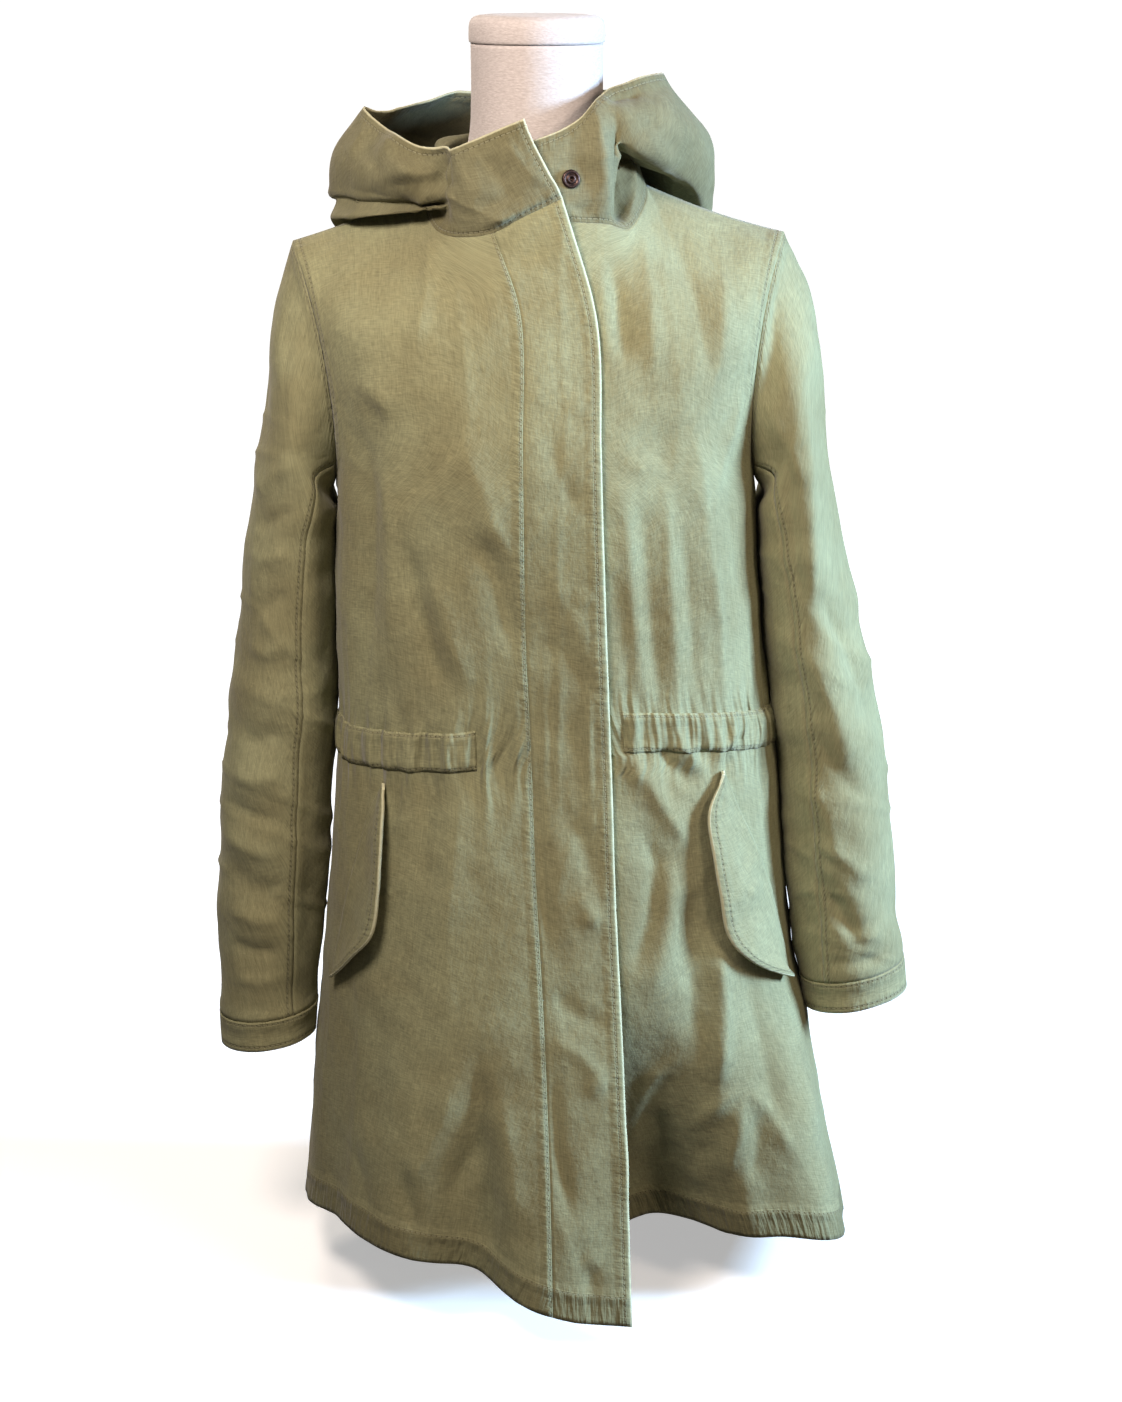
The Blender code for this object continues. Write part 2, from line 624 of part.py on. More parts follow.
# ---------------------------------------------------------------- cloth and seams


class Cloth:
    """One piece of cloth: a grid of outer points with their normals and shifts."""

    def __init__(self, name, grid, thick, flip=False, closed=False):
        self.name, self.thick, self.closed = name, thick, closed
        self.points = np.array(grid)
        self.shift = np.zeros_like(self.points)
        self.normals = self.find_normals() * (-1 if flip else 1)
        self.shared = self.normals.copy()

    def find_normals(self):
        p = self.points
        down = np.gradient(p, axis=0)
        if self.closed:
            across = (np.roll(p, -1, axis=1) - np.roll(p, 1, axis=1)) / 2
        else:
            across = np.gradient(p, axis=1)
        n = np.cross(across, down)
        return n / np.maximum(np.linalg.norm(n, axis=2, keepdims=True), 1e-12)

    def edge(self, where, low=0, high=None, back=False):
        """Index pairs (on the edge, one step inside) along one edge of the grid."""
        rows, columns = self.points.shape[:2]
        lines = {
            "first row": [((0, j), (1, j)) for j in range(columns)],
            "last row": [((rows - 1, j), (rows - 2, j)) for j in range(columns)],
            "first column": [((i, 0), (i, 1)) for i in range(rows)],
            "last column": [((i, columns - 1), (i, columns - 2)) for i in range(rows)],
        }
        line = lines[where][low:high]
        return line[::-1] if back else line

    def walls(self):
        """Outer and inner points."""
        n = self.shared / np.maximum(np.linalg.norm(self.shared, axis=2, keepdims=True), 1e-12)
        outer = self.points + self.shift
        return outer, outer - n * self.thick


def sew(a, a_edge, b, b_edge):
    """Joins two edges: a shared normal where they turn outwards, and a small gap."""
    assert len(a_edge) == len(b_edge)
    for (p, p_in), (q, q_in) in zip(a_edge, b_edge):
        n, m = a.normals[p], b.normals[q]
        apart = unit(a.points[p_in] - b.points[q_in]) * SEAM_GAP / 2
        if np.dot(n, m) < -0.2:    # back to back, as at the armpit
            apart = unit(m - n) * SEAM_GAP / 2
        a.shift[p] += apart
        b.shift[q] -= apart
        ridge = np.dot(a.points[p_in] - a.points[p], m) < 0 or np.dot(n, m) > 0.4
        if ridge and np.dot(n, m) > -0.5:
            a.shared[p] += m
            b.shared[q] += n


def solid(name, vertices, faces):
    """A closed solid from its vertices and faces, turned right side out."""
    mesh = bpy.data.meshes.new(name)
    made = bpy.data.objects.new(name, mesh)
    bpy.context.scene.collection.objects.link(made)
    bm = bmesh.new()
    points = [bm.verts.new(v) for v in vertices]
    for face in faces:
        bm.faces.new([points[i] for i in face])
    bmesh.ops.recalc_face_normals(bm, faces=bm.faces)
    bmesh.ops.triangulate(bm, faces=bm.faces, quad_method="FIXED")
    bm.to_mesh(mesh)
    bm.free()
    return made


def wall_solid(name, outer, inner, closed=False):
    """The solid between two grids of points of the same size."""
    rows, columns = outer.shape[:2]
    vertices = list(outer.reshape(-1, 3)) + list(inner.reshape(-1, 3))
    step = rows * columns

    def at(i, j, side):
        return i * columns + j % columns + side * step

    faces = []
    last = columns if closed else columns - 1
    for i in range(rows - 1):
        for j in range(last):
            for side in (0, 1):
                face = [at(i, j, side), at(i, j + 1, side), at(i + 1, j + 1, side), at(i + 1, j, side)]
                faces.append(face if side == 0 else face[::-1])
    for i in (0, rows - 1):
        for j in range(last):
            faces.append([at(i, j, 0), at(i, j + 1, 0), at(i, j + 1, 1), at(i, j, 1)])
    if not closed:
        for i in range(rows - 1):
            for j in (0, columns - 1):
                faces.append([at(i, j, 0), at(i + 1, j, 0), at(i + 1, j, 1), at(i, j, 1)])
    return solid(name, vertices, faces)


def make(cloth):
    outer, inner = cloth.walls()
    return wall_solid(cloth.name, outer, inner, cloth.closed)


# ---------------------------------------------------------------- the jacket


def sew_sleeve(side, top, under, front, back):
    """Joins both parts of a sleeve to the armhole and to each other."""
    column = "first column" if side == "left" else "last column"
    front_edge = front.edge("first column", BODY_ROWS)          # armpit up to shoulder tip
    back_edge = back.edge(column, BODY_ROWS)
    step = 180 // YOKE_ROWS
    for part, start in ((under, 144), (top, 252)):
        for j, here in enumerate(part.edge("first row")):
            angle = (start + j * step) % 360
            if angle <= 180:
                sew(part, [here], front, [front_edge[(180 - angle) // step]])
            if angle >= 180 or angle == 0:
                sew(part, [here], back, [back_edge[((angle or 360) - 180) // step]])
    sew(under, under.edge("first column"), top, top.edge("last column"))
    sew(under, under.edge("last column"), top, top.edge("first column"))


def sew_cuff(cuff, top, under):
    """Joins a cuff to the lower end of its sleeve."""
    ends = cuff.edge("first row")
    sew(cuff, ends[:UNDER_COLUMNS + 1], under, under.edge("last row"))
    sew(cuff, ends[UNDER_COLUMNS:] + ends[:1], top, top.edge("last row"))


def sew_hood(hood, others):
    """Joins a half of the hood to the pieces round the neckline, front to back."""
    place = 0
    for piece, edge in others:
        sew(hood, hood.edge("first row", place, place + len(edge)), piece, edge)
        place += len(edge) - 1


def jacket():
    """All the pieces that are sewn edge to edge."""
    front_right = Cloth("front_right", front_grid("over"), CLOTH)
    front_left = Cloth("front_left", front_grid("under"), CLOTH, flip=True)
    placket = Cloth("placket_right", placket_grid(), PLACKET)
    back = Cloth("back", back_grid(), CLOTH)
    hood_right = Cloth("hood_right", hood_grid("right"), CLOTH, flip=True)
    hood_left = Cloth("hood_left", hood_grid("left"), CLOTH)
    pieces = [front_right, front_left, placket, back, hood_right, hood_left]

    sew(front_right, front_right.edge("last column"), placket, placket.edge("first column"))
    below = BODY_ROWS + 1
    sew(front_left, front_left.edge("first column", 0, below), back, back.edge("first column", 0, below))
    sew(front_right, front_right.edge("first column", 0, below), back, back.edge("last column", 0, below))
    tops = SHOULDER_COLUMNS + 1
    sew(front_left, front_left.edge("last row", 0, tops), back, back.edge("last row", 0, tops))
    sew(front_right, front_right.edge("last row", 0, tops), back, back.edge("last row", -tops, back=True))
    sew(hood_right, hood_right.edge("last column"), hood_left, hood_left.edge("last column"))
    neck, half = FRONT_NECK_COLUMNS + 1, BACK_NECK_COLUMNS // 2 + 1
    centre = SHOULDER_COLUMNS + half
    sew_hood(hood_right, [
        (placket, placket.edge("last row", back=True)),
        (front_right, front_right.edge("last row", -neck, back=True)),
        (back, back.edge("last row", centre - 1, centre - 1 + half, back=True)),
    ])
    sew_hood(hood_left, [
        (front_left, front_left.edge("last row", -neck, back=True)),
        (back, back.edge("last row", SHOULDER_COLUMNS, centre)),
    ])
    for side, front, flip in (("right", front_right, True), ("left", front_left, False)):
        top = Cloth(f"sleeve_{side}_top", sleeve_grid(side, "top"), CLOTH, flip)
        under = Cloth(f"sleeve_{side}_under", sleeve_grid(side, "under"), CLOTH, flip)
        cuff = Cloth(f"cuff_{side}", cuff_grid(side), CUFF, flip, closed=True)
        sew_sleeve(side, top, under, front, back)
        sew_cuff(cuff, top, under)
        pieces += [top, under, cuff]
    for piece in pieces:
        make(piece)
    return hood_left


def on_front(piece, x, z, out):
    """A point over a front panel, a distance out from its cloth."""
    turn = turn_at_x(x, z)
    p = body_point(piece, turn, z)
    across = body_point(piece, turn + 0.5, z) - body_point(piece, turn - 0.5, z)
    up = body_point(piece, turn, z + 0.002) - body_point(piece, turn, z - 0.002)
    return p + unit(np.cross(across, up)) * out


def pocket_flap(name, piece, table, mirror):
    """A flap sewn along one edge, its other edge standing off the panel."""
    outer, inner = [], []
    for share in spaced(0, 1, FLAP_ROWS):
        row = by_share(table, share)
        outer_row, inner_row = [], []
        for across in spaced(0, 1, FLAP_COLUMNS):
            x = mirror * (row.sewn_x + (row.loose_x - row.sewn_x) * across)
            z = row.sewn_z + (row.loose_z - row.sewn_z) * across
            off = LAY_GAP + 0.0004 + row.off * smooth(across * 0.9)
            inner_row.append(on_front(piece, x, z, off))
            outer_row.append(on_front(piece, x, z, off + FLAP))
        outer.append(outer_row)
        inner.append(inner_row)
    return wall_solid(name, np.array(outer), np.array(inner))


def waist_casing():
    """The strip round the waist, plain inside and gathered into little waves outside."""
    start = turn_at_x(CASING_START_X, 0.52) - 360
    end = turn_at_x(CASING_END_X, 0.508)
    outer, inner = [], []
    turns = spaced(start, end, 2 * GATHERS)
    for height in (-1, -0.35, 0.35, 1):
        outer_row, inner_row = [], []
        for i, turn in enumerate(turns):
            z = along(WAIST, turn).z + CASING_HALF * height
            piece = "under" if turn < 0 else "back" if turn < 180 else "over"
            around = turn % 360

            def at(t, h, piece=piece):
                return body_point(piece, t, h)

            p = at(around, z)
            away = unit(np.cross(at(around + 0.5, z) - at(around - 0.5, z), np.array([0, 0, 1.0])))
            wave = 0.0010 * (i % 2)
            inner_row.append(p + away * (LAY_GAP + 0.0003))
            outer_row.append(p + away * (LAY_GAP + 0.0003 + TRIM + wave))
        outer.append(outer_row)
        inner.append(inner_row)
    return wall_solid("waist_casing", np.array(outer), np.array(inner))


def turned(name, rings, sides):
    """A solid from closed rings of points, with flat ends."""
    vertices = [p for ring in rings for p in ring]
    faces = [list(range(sides))[::-1], [(len(rings) - 1) * sides + j for j in range(sides)]]
    for i in range(len(rings) - 1):
        for j in range(sides):
            k = (j + 1) % sides
            faces.append([i * sides + j, i * sides + k, (i + 1) * sides + k, (i + 1) * sides + j])
    return solid(name, vertices, faces)


def dress_form():
    """The limbless form that the jacket stands on, with the cap of its neck."""
    rings = []
    for z in spaced(FORM[0].z, 0.84, 15)[:-1]:
        rings.append(form_ring(z))
    for z in spaced(0.84, FORM[-1].z, FORM_RINGS - 15):
        rings.append(form_ring(z))
    turned("form_torso", rings, FORM_SIDES)
    cap = []
    for ring in CAP:
        cap.append([
            (ring.radius * cos(2 * pi * j / FORM_SIDES), ring.radius * sin(2 * pi * j / FORM_SIDES), ring.z)
            for j in range(FORM_SIDES)
        ])
    turned("form_neck_cap", cap, FORM_SIDES)


def form_ring(z):
    ring = along(FORM, z)
    row = []
    for j in range(FORM_SIDES):
        c, s = cos(2 * pi * j / FORM_SIDES), sin(2 * pi * j / FORM_SIDES)
        power = 2 / ring.square
        row.append((
            ring.mid_x + copysign(abs(c) ** power, c) * ring.wide,
            ring.mid_y + copysign(abs(s) ** power, s) * ring.deep,
            z,
        ))
    return row


def snap_stud():
    """The ring-shaped snap on the left stand of the hood."""
    share = min(spaced(0, 1, 200), key=lambda s: abs(hood_point("left", STUD_ANGLE, s)[2] - STUD_Z))
    middle = hood_point("left", STUD_ANGLE, share)
    across = unit(hood_point("left", STUD_ANGLE - 2, share) - hood_point("left", STUD_ANGLE + 2, share))
    up = unit(hood_point("left", STUD_ANGLE, share + 0.02) - hood_point("left", STUD_ANGLE, share - 0.02))
    away = unit(np.cross(across, up))
    if away[1] > 0:
        away = -away
    rings = []
    for ring in STUD:
        rings.append([
            middle + away * (ring.out + 0.0006)
            + (across * cos(2 * pi * j / STUD_SIDES) + up * sin(2 * pi * j / STUD_SIDES)) * ring.radius
            for j in range(STUD_SIDES)
        ])
    turned("snap_stud", rings, STUD_SIDES)


for old in list(bpy.data.objects):
    bpy.data.objects.remove(old, do_unlink=True)

jacket()
pocket_flap("pocket_flap_left", "under", FLAP_LEFT, 1)
pocket_flap("pocket_flap_right", "over", FLAP_RIGHT, -1)
waist_casing()
snap_stud()
dress_form()
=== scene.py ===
# %% [markdown]
# # A hooded field jacket on a dress form
# The real thing is a washed canvas jacket with a fly front, a gathered waist and a
# hood that lies on the shoulders. It stands on a limbless form with a bare neck.
# The solids of the part come in first. They are the frame that every softer,
# finer piece below has to fit.

# %% Load the frame
import json
from math import pi, radians

import bpy
import numpy as np
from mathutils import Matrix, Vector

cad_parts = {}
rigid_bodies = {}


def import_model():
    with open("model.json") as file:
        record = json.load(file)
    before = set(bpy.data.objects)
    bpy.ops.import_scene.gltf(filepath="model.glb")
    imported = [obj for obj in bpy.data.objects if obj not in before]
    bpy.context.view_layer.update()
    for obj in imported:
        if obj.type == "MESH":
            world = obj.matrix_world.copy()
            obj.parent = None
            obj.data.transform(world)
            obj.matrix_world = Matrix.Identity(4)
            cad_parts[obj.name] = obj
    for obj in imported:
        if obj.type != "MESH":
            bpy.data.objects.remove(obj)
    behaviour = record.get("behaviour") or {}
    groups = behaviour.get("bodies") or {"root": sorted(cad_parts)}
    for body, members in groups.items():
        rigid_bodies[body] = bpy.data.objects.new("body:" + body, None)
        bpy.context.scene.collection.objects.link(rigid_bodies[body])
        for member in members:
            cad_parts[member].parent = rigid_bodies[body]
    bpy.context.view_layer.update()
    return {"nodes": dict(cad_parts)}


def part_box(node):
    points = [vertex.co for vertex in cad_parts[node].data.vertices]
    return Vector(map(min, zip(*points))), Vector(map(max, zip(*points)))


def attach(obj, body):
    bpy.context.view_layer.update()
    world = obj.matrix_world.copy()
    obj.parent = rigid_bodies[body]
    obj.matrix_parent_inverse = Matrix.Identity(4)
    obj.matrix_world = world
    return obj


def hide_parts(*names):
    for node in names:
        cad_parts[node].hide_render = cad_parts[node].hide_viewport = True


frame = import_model()
print("solid pieces:", len(frame["nodes"]))

# %% [markdown]
# ## The camera
# The photograph was taken from a little above the shoulders, looking down about
# 16 degrees, from roughly 2.2 m. A 70 mm lens from there gives the same curve to
# the hem. We make the camera first, so that each piece can be looked at early.

# %% Camera
CAMERA_AT = (0.019, -2.2, 1.142)
TILT_DOWN = 16.1
LENS = 69.6

view = bpy.data.cameras.new("camera")
view.lens = LENS
camera = bpy.data.objects.new("camera", view)
camera.location = CAMERA_AT
camera.rotation_euler = (radians(90 - TILT_DOWN), 0, 0)
bpy.context.scene.collection.objects.link(camera)
bpy.context.scene.camera = camera
print("camera", CAMERA_AT, "lens", LENS)

# %% [markdown]
# ## Smooth curves through a few rows
# A garment is cut from a few measured lines. We keep them as short tables: a row
# for each height, and a column for each size. Sizes are written in millimetres, as a
# pattern cutter would, and kept in metres; a few columns hold degrees or shares.
# Between the rows a cubic curve keeps the cloth smooth. numpy works on whole arrays,
# so fine grids stay quick.

# %% Curves
PLAIN_NUMBERS = "share angle turn row front back square lean".split()    # not millimetres


def table(names, rows):
    """A table with named columns: the first one is where each row holds."""
    scale = np.array([1 if name in PLAIN_NUMBERS else 1000 for name in names.split()])
    return {"names": names.split(), "rows": np.array(sorted(rows), float) / scale}


def spline(data, at):
    """The columns of a table at any places, on a smooth curve through its rows."""
    keys, rows = data["rows"][:, 0], data["rows"]
    at = np.clip(np.asarray(at, float), keys[0], keys[-1])
    i = np.clip(np.searchsorted(keys, at) - 1, 0, len(keys) - 2)
    slopes = np.empty_like(rows)
    slopes[1:-1] = (rows[2:] - rows[:-2]) / (keys[2:] - keys[:-2])[:, None]
    slopes[0] = (rows[1] - rows[0]) / (keys[1] - keys[0])
    slopes[-1] = (rows[-1] - rows[-2]) / (keys[-1] - keys[-2])
    wide = keys[i + 1] - keys[i]
    t = ((at - keys[i]) / wide)[..., None]
    wide = wide[..., None]
    value = (
        rows[i] * (2 * t**3 - 3 * t**2 + 1) + slopes[i] * wide * (t**3 - 2 * t**2 + t)
        + rows[i + 1] * (3 * t**2 - 2 * t**3) + slopes[i + 1] * wide * (t**3 - t**2)
    )
    return {name: value[..., k] for k, name in enumerate(data["names"])}


def through(points, at):
    """Places along a smooth line through a few points; at runs from 0 to 1."""
    points = np.asarray(points, float)
    last = len(points) - 1
    place = np.clip(np.asarray(at, float), 0, 1) * last
    i = np.minimum(place.astype(int), last - 1)
    t = (place - i).reshape(-1, *([1] * (points.ndim - 1)))
    before = np.concatenate([2 * points[:1] - points[1:2], points])
    after = np.concatenate([points, 2 * points[-1:] - points[-2:-1]])
    p0, p1, p2, p3 = before[i], points[i], points[i + 1], after[i + 2]
    return 0.5 * (
        2 * p1 + (p2 - p0) * t + (2 * p0 - 5 * p1 + 4 * p2 - p3) * t**2
        + (3 * p1 - p0 - 3 * p2 + p3) * t**3
    )


def smooth(x):
    """0 below 0, 1 above 1, and an even S between."""
    x = np.clip(x, 0, 1)
    return x * x * (3 - 2 * x)


def power(value, exponent):
    """A power that keeps the sign."""
    return np.sign(value) * np.abs(value) ** exponent


print("S curve at a quarter:", smooth(0.25))

# %% [markdown]
# ## The cut of the jacket
# A jacket hangs from its shoulders as a few rings of cloth, each wider than the body
# inside. These tables hold that form: rings round the body, the front edges and the
# hem. Angles round the body start at the wearer's left side and pass the back.

# %% Tables of the body
RINGS = table("z right_x left_x front_y under_y back_y square", [
    (20, -212, 272, -196, -110, 160, 2.15), (100, -203, 256, -184, -118, 151, 2.15),
    (200, -193, 233, -170, -136, 141, 2.2), (300, -183, 216, -155, -146, 132, 2.25),
    (400, -175, 205, -142, -136.5, 123, 2.3), (500, -168, 195, -131, -126, 112, 2.35),
    (600, -170, 184, -134, -129, 110, 2.35), (700, -167, 179, -141, -136, 116, 2.3),
    (760, -186, 190, -138, -133, 121, 2.3), (820, -195, 197, -127, -122, 117, 2.3),
    (870, -200, 200, -112, -107, 100, 2.2),
])
EDGES = table("z stitch_x edge_x under_x", [
    (20, 13, 78, 0), (150, 10, 74, -2), (280, 5, 68.5, -8), (400, -1.5, 62.5, -14),
    (500, -5, 59, -18), (600, -9.2, 55, -20), (700, -10, 51.5, -20), (790, -11, 49.2, -20),
    (860, -12.5, 45.5, -19), (900, -24, 34.5, -18), (935, -33, 20.5, -18),
])
HEM = table("share over_z under_z", [
    (0, 58, 42), (0.2, 72, 50), (0.4, 77, 64), (0.6, 66, 64), (0.8, 36, 62), (1, 24, 62),
])
FOLDS = {    # turn at its top, turn at the hem, height of its top, how far out, width
    "over": [
        (253, 249, 0.250, -0.022, 8), (236, 231, 0.330, 0.009, 12),
        (212, 206, 0.380, -0.007, 9), (267, 266, 0.260, 0.006, 8),
    ],
    "under": [
        (287, 291, 0.300, -0.050, 14), (303, 308, 0.330, 0.010, 9),
        (315, 320, 0.240, -0.008, 8), (328, 334, 0.420, 0.016, 12),
    ],
    "back": [
        (28, 24, 0.400, 0.012, 11), (50, 47, 0.340, -0.014, 10),
        (72, 70, 0.430, 0.014, 12), (96, 98, 0.360, -0.012, 10),
        (118, 121, 0.430, 0.013, 12), (142, 146, 0.330, -0.013, 10),
        (162, 166, 0.300, 0.007, 9),
    ],
}
UNDERARM_Z = 0.700
NECK_POINT = 86.0      # degrees from the front, where the shoulder seam meets the neck
print("rings round the body:", len(RINGS["rows"]))

# %% [markdown]
# ## Neck, sleeves and hood
# The neckline is a wavy loop. A sleeve is a bent tube, given by its inner and outer
# line. The hood is harder: round the neck we cut it into upright sections, and each
# section names the places where the cloth turns, from the seam up to the free edge.

# %% Tables of the neck, sleeves and hood
NECK_RIGHT = table("angle out z", [
    (-13, 98, 937), (8, 98.5, 920), (20, 101, 909), (36, 103, 905), (48, 102, 907), (62, 96, 915),
    (86, 87, 937), (130, 78, 951), (180, 70, 957),
])
NECK_LEFT = table("angle out z", [
    (-180, 70, 957), (-130, 78, 951), (-86, 87, 938), (-62, 93, 921), (-46, 99, 910),
    (-34, 97.5, 915), (-20, 95, 917), (0, 93, 919), (12, 92.5, 920),
])
RIGHT_NECK_ENDS = (NECK_POINT, 19.0, -12.0)
LEFT_NECK_ENDS = (-NECK_POINT, 11.0)
SLEEVE_NAMES = "share inner_x inner_z outer_x outer_z deep mid_y"
SLEEVE_RIGHT = table(SLEEVE_NAMES, [
    (0, 167, 700, 197, 893, 64, 0), (0.125, 170, 688, 216.5, 835, 74, 2),
    (0.25, 168.6, 670, 222.5, 762, 77, 4), (0.375, 170.8, 632, 231.5, 700, 75, 6),
    (0.5, 171.4, 570, 244, 625, 70, 6), (0.625, 170.4, 498, 257, 528, 64, 2),
    (0.75, 176.2, 420, 269, 430, 58, -6), (0.875, 182.8, 332, 277.5, 327, 51, -14),
    (1, 191.2, 246, 275.5, 237, 44, -20),
])
SLEEVE_LEFT = table(SLEEVE_NAMES, [
    (0, 179, 700, 198.5, 900, 64, 0), (0.125, 184.5, 688, 219, 842, 74, 2),
    (0.25, 181.4, 668, 232, 768, 77, 4), (0.375, 184.6, 622, 243, 702, 75, 6),
    (0.5, 190.6, 565, 260, 618, 70, 6), (0.625, 199.2, 490, 280, 528, 64, 2),
    (0.75, 207.2, 412, 294.5, 430, 58, -6), (0.875, 214, 344, 305, 350, 52, -14),
    (1, 224.5, 270, 313, 288, 45, -20),
])
SLEEVE_SEAMS = table("share front back", [
    (0, 144, 252), (0.25, 122, 256), (0.5, 114, 260), (1, 126, 264),
])
HOOD_PARTS = ("rise", "drop", "bag", "tuck", "lip", "wall", "edge")
HOOD_NAMES = " ".join(["angle", *[f"{part}_r {part}_z" for part in HOOD_PARTS], "lean"])
HOOD_RIGHT = table(HOOD_NAMES, [
    (-13, 98, 946, 97.5, 953, 97, 961, 96.5, 969, 95.5, 977, 94, 986, 92, 996, 18),
    (20, 101, 919, 101, 929, 101.2, 939, 100.8, 950, 100, 960, 98.5, 971, 96, 983, 4),
    (37, 103.5, 915, 104.2, 924, 105, 932, 106, 941, 106.5, 950, 106.5, 960, 106, 971.5, 3),
    (44, 99, 915, 99, 922, 101, 927, 100, 930, 103, 937, 102, 953, 106.2, 971.5, 0),
    (52, 93, 918, 96, 925, 104, 925, 97, 929, 107, 931, 109, 951, 106.2, 971.5, 0),
    (66, 87, 934, 98, 932, 119, 920, 109, 927, 120, 932, 125, 953, 109, 974, 0),
    (82, 82, 952, 108, 936, 149, 914, 137, 925.5, 144, 932, 147, 957, 119, 982, 0),
    (98, 80, 961, 112, 932, 166, 907, 163, 923.5, 169, 932, 165, 962, 139, 996, 0),
    (112, 79, 967, 116, 922, 166, 885, 168, 911, 174, 928, 166, 960, 134, 991, 0),
    (135, 78, 971, 124, 888, 160, 850, 172, 885, 180, 915, 164, 960, 124, 1000, 0),
    (158, 77, 975, 126, 868, 160, 820, 178, 860, 186, 900, 165, 955, 120, 1003, 0),
    (180, 76, 977, 126, 862, 161, 808, 181, 850, 190, 893, 166, 953, 118, 1003, 0),
])
HOOD_LEFT = table(HOOD_NAMES, [
    (12, 92.5, 928, 92, 936, 91, 944, 90, 951, 88.5, 958, 86, 966, 83, 974, 0),
    (-8, 93, 928, 92, 937, 91, 946, 89, 954, 87, 962, 83, 971, 77, 981, 2),
    (-24, 95, 927, 93.5, 938, 91.5, 949, 89, 960, 85.5, 970, 80, 982, 73, 992, -2),
    (-33, 96.5, 927, 95.5, 939, 94.5, 951, 93, 962, 90, 973, 82, 988, 69, 1001, -4),
    (-38, 97, 926, 97, 939, 97, 952, 96.5, 963, 96, 974, 88, 991, 67, 1005, -5),
    (-43, 90, 925, 87, 940, 86, 952, 86, 963, 96, 975, 90, 995, 66, 1008, -5),
    (-54, 87, 928, 85, 943, 83, 955, 80, 963, 101, 968, 97, 993, 66, 1014, -4),
    (-66, 86, 938, 84, 948, 80, 956, 79, 961, 107, 960, 106, 990, 73, 1018, -2),
    (-80, 78, 955, 78, 958, 80, 957, 88, 953, 115, 949, 118, 982, 84, 1022, 0),
    (-95, 78, 966, 90, 955, 104, 944, 118, 934, 132, 930, 137, 968, 96, 1022, 0),
    (-114, 78, 971, 106, 930, 126, 905, 140, 894, 152, 905, 153, 953, 108, 1015, 0),
    (-135, 78, 973, 120, 892, 150, 856, 165, 872, 175, 905, 161, 960, 117, 1008, 0),
    (-158, 77, 975, 126, 868, 160, 820, 178, 860, 186, 900, 165, 955, 119, 1004, 0),
    (-180, 76, 977, 126, 862, 161, 808, 181, 850, 190, 893, 166, 953, 118, 1003, 0),
])
print("sections of the hood:", len(HOOD_RIGHT["rows"]) + len(HOOD_LEFT["rows"]))

# %% [markdown]
# ## From the tables to places in space
# Each function below answers one question: where is the cloth, given an angle
# and a height, or an angle and a share of the way? All of them take arrays.

# %% Where the cloth is
SCOOP_FRONT, SCOOP_BACK = 0.015, 0.006    # how far the armhole is cut into the body


def middle_and_half(ring):
    """Where a ring has its middle, and half its width."""
    return (ring["left_x"] + ring["right_x"]) / 2, (ring["left_x"] - ring["right_x"]) / 2


def body_point(piece, turn, z):
    """The cloth round the body at an angle and a height."""
    turn, z = np.broadcast_arrays(np.asarray(turn, float), np.asarray(z, float))
    ring = spline(RINGS, z)
    middle, half = middle_and_half(ring)
    c, s = np.cos(np.radians(turn)), np.sin(np.radians(turn))
    front = -ring["front_y"]
    if piece == "under":
        front = -ring["under_y"] + (ring["under_y"] - ring["front_y"]) * smooth((turn - 288) / 50)
    deep = np.where(s > 0, ring["back_y"], front)
    out = np.zeros_like(z)
    for top_turn, hem_turn, top_z, far, wide in FOLDS[piece]:
        grown = np.clip(1 - z / top_z, 0, 1)
        centre = top_turn + (hem_turn - top_turn) * grown
        out += far * smooth(grown * 1.15) * np.exp(-(((turn - centre) / wide) ** 2))
    seam = np.minimum(np.minimum(np.abs(turn), np.abs(turn - 180)), np.abs(turn - 360))
    out *= smooth(seam / 14)
    e = 2 / ring["square"]
    return np.stack([middle + power(c, e) * half + c * out, power(s, e) * deep + s * out, z], -1)


def turn_at_x(x, z, front=True):
    """The angle round the body at which the cloth is at x."""
    ring = spline(RINGS, z)
    middle, half = middle_and_half(ring)
    share = np.clip((x - middle) / half, -1, 1)
    turn = np.degrees(np.arccos(np.clip(power(share, ring["square"] / 2), -1, 1)))
    return 360 - turn if front else turn


def sleeve_point(side, angle, share):
    """A point of a sleeve: share 0 at the armhole, 1 at the seam of the cuff."""
    angle, share = np.broadcast_arrays(np.asarray(angle, float), np.asarray(share, float))
    ring = spline(SLEEVE_LEFT if side == "left" else SLEEVE_RIGHT, share)
    c, s = np.cos(np.radians(angle)), np.sin(np.radians(angle))
    x = (ring["inner_x"] + ring["outer_x"]) / 2 + c * (ring["outer_x"] - ring["inner_x"]) / 2
    z = (ring["inner_z"] + ring["outer_z"]) / 2 + c * (ring["outer_z"] - ring["inner_z"]) / 2
    x = x - np.where(s > 0, SCOOP_FRONT, SCOOP_BACK) * np.abs(s) ** 1.5 * (1 - smooth(share / 0.16))
    return np.stack([x if side == "left" else -x, ring["mid_y"] - ring["deep"] * s, z], -1)


def neckline(side, angle):
    """The seam between jacket and hood, at an angle round the neck."""
    angle = np.asarray(angle, float)
    seam, a = spline(NECK_LEFT if side == "left" else NECK_RIGHT, angle), np.radians(angle)
    return np.stack([-np.sin(a) * seam["out"], -np.cos(a) * seam["out"], seam["z"]], -1)


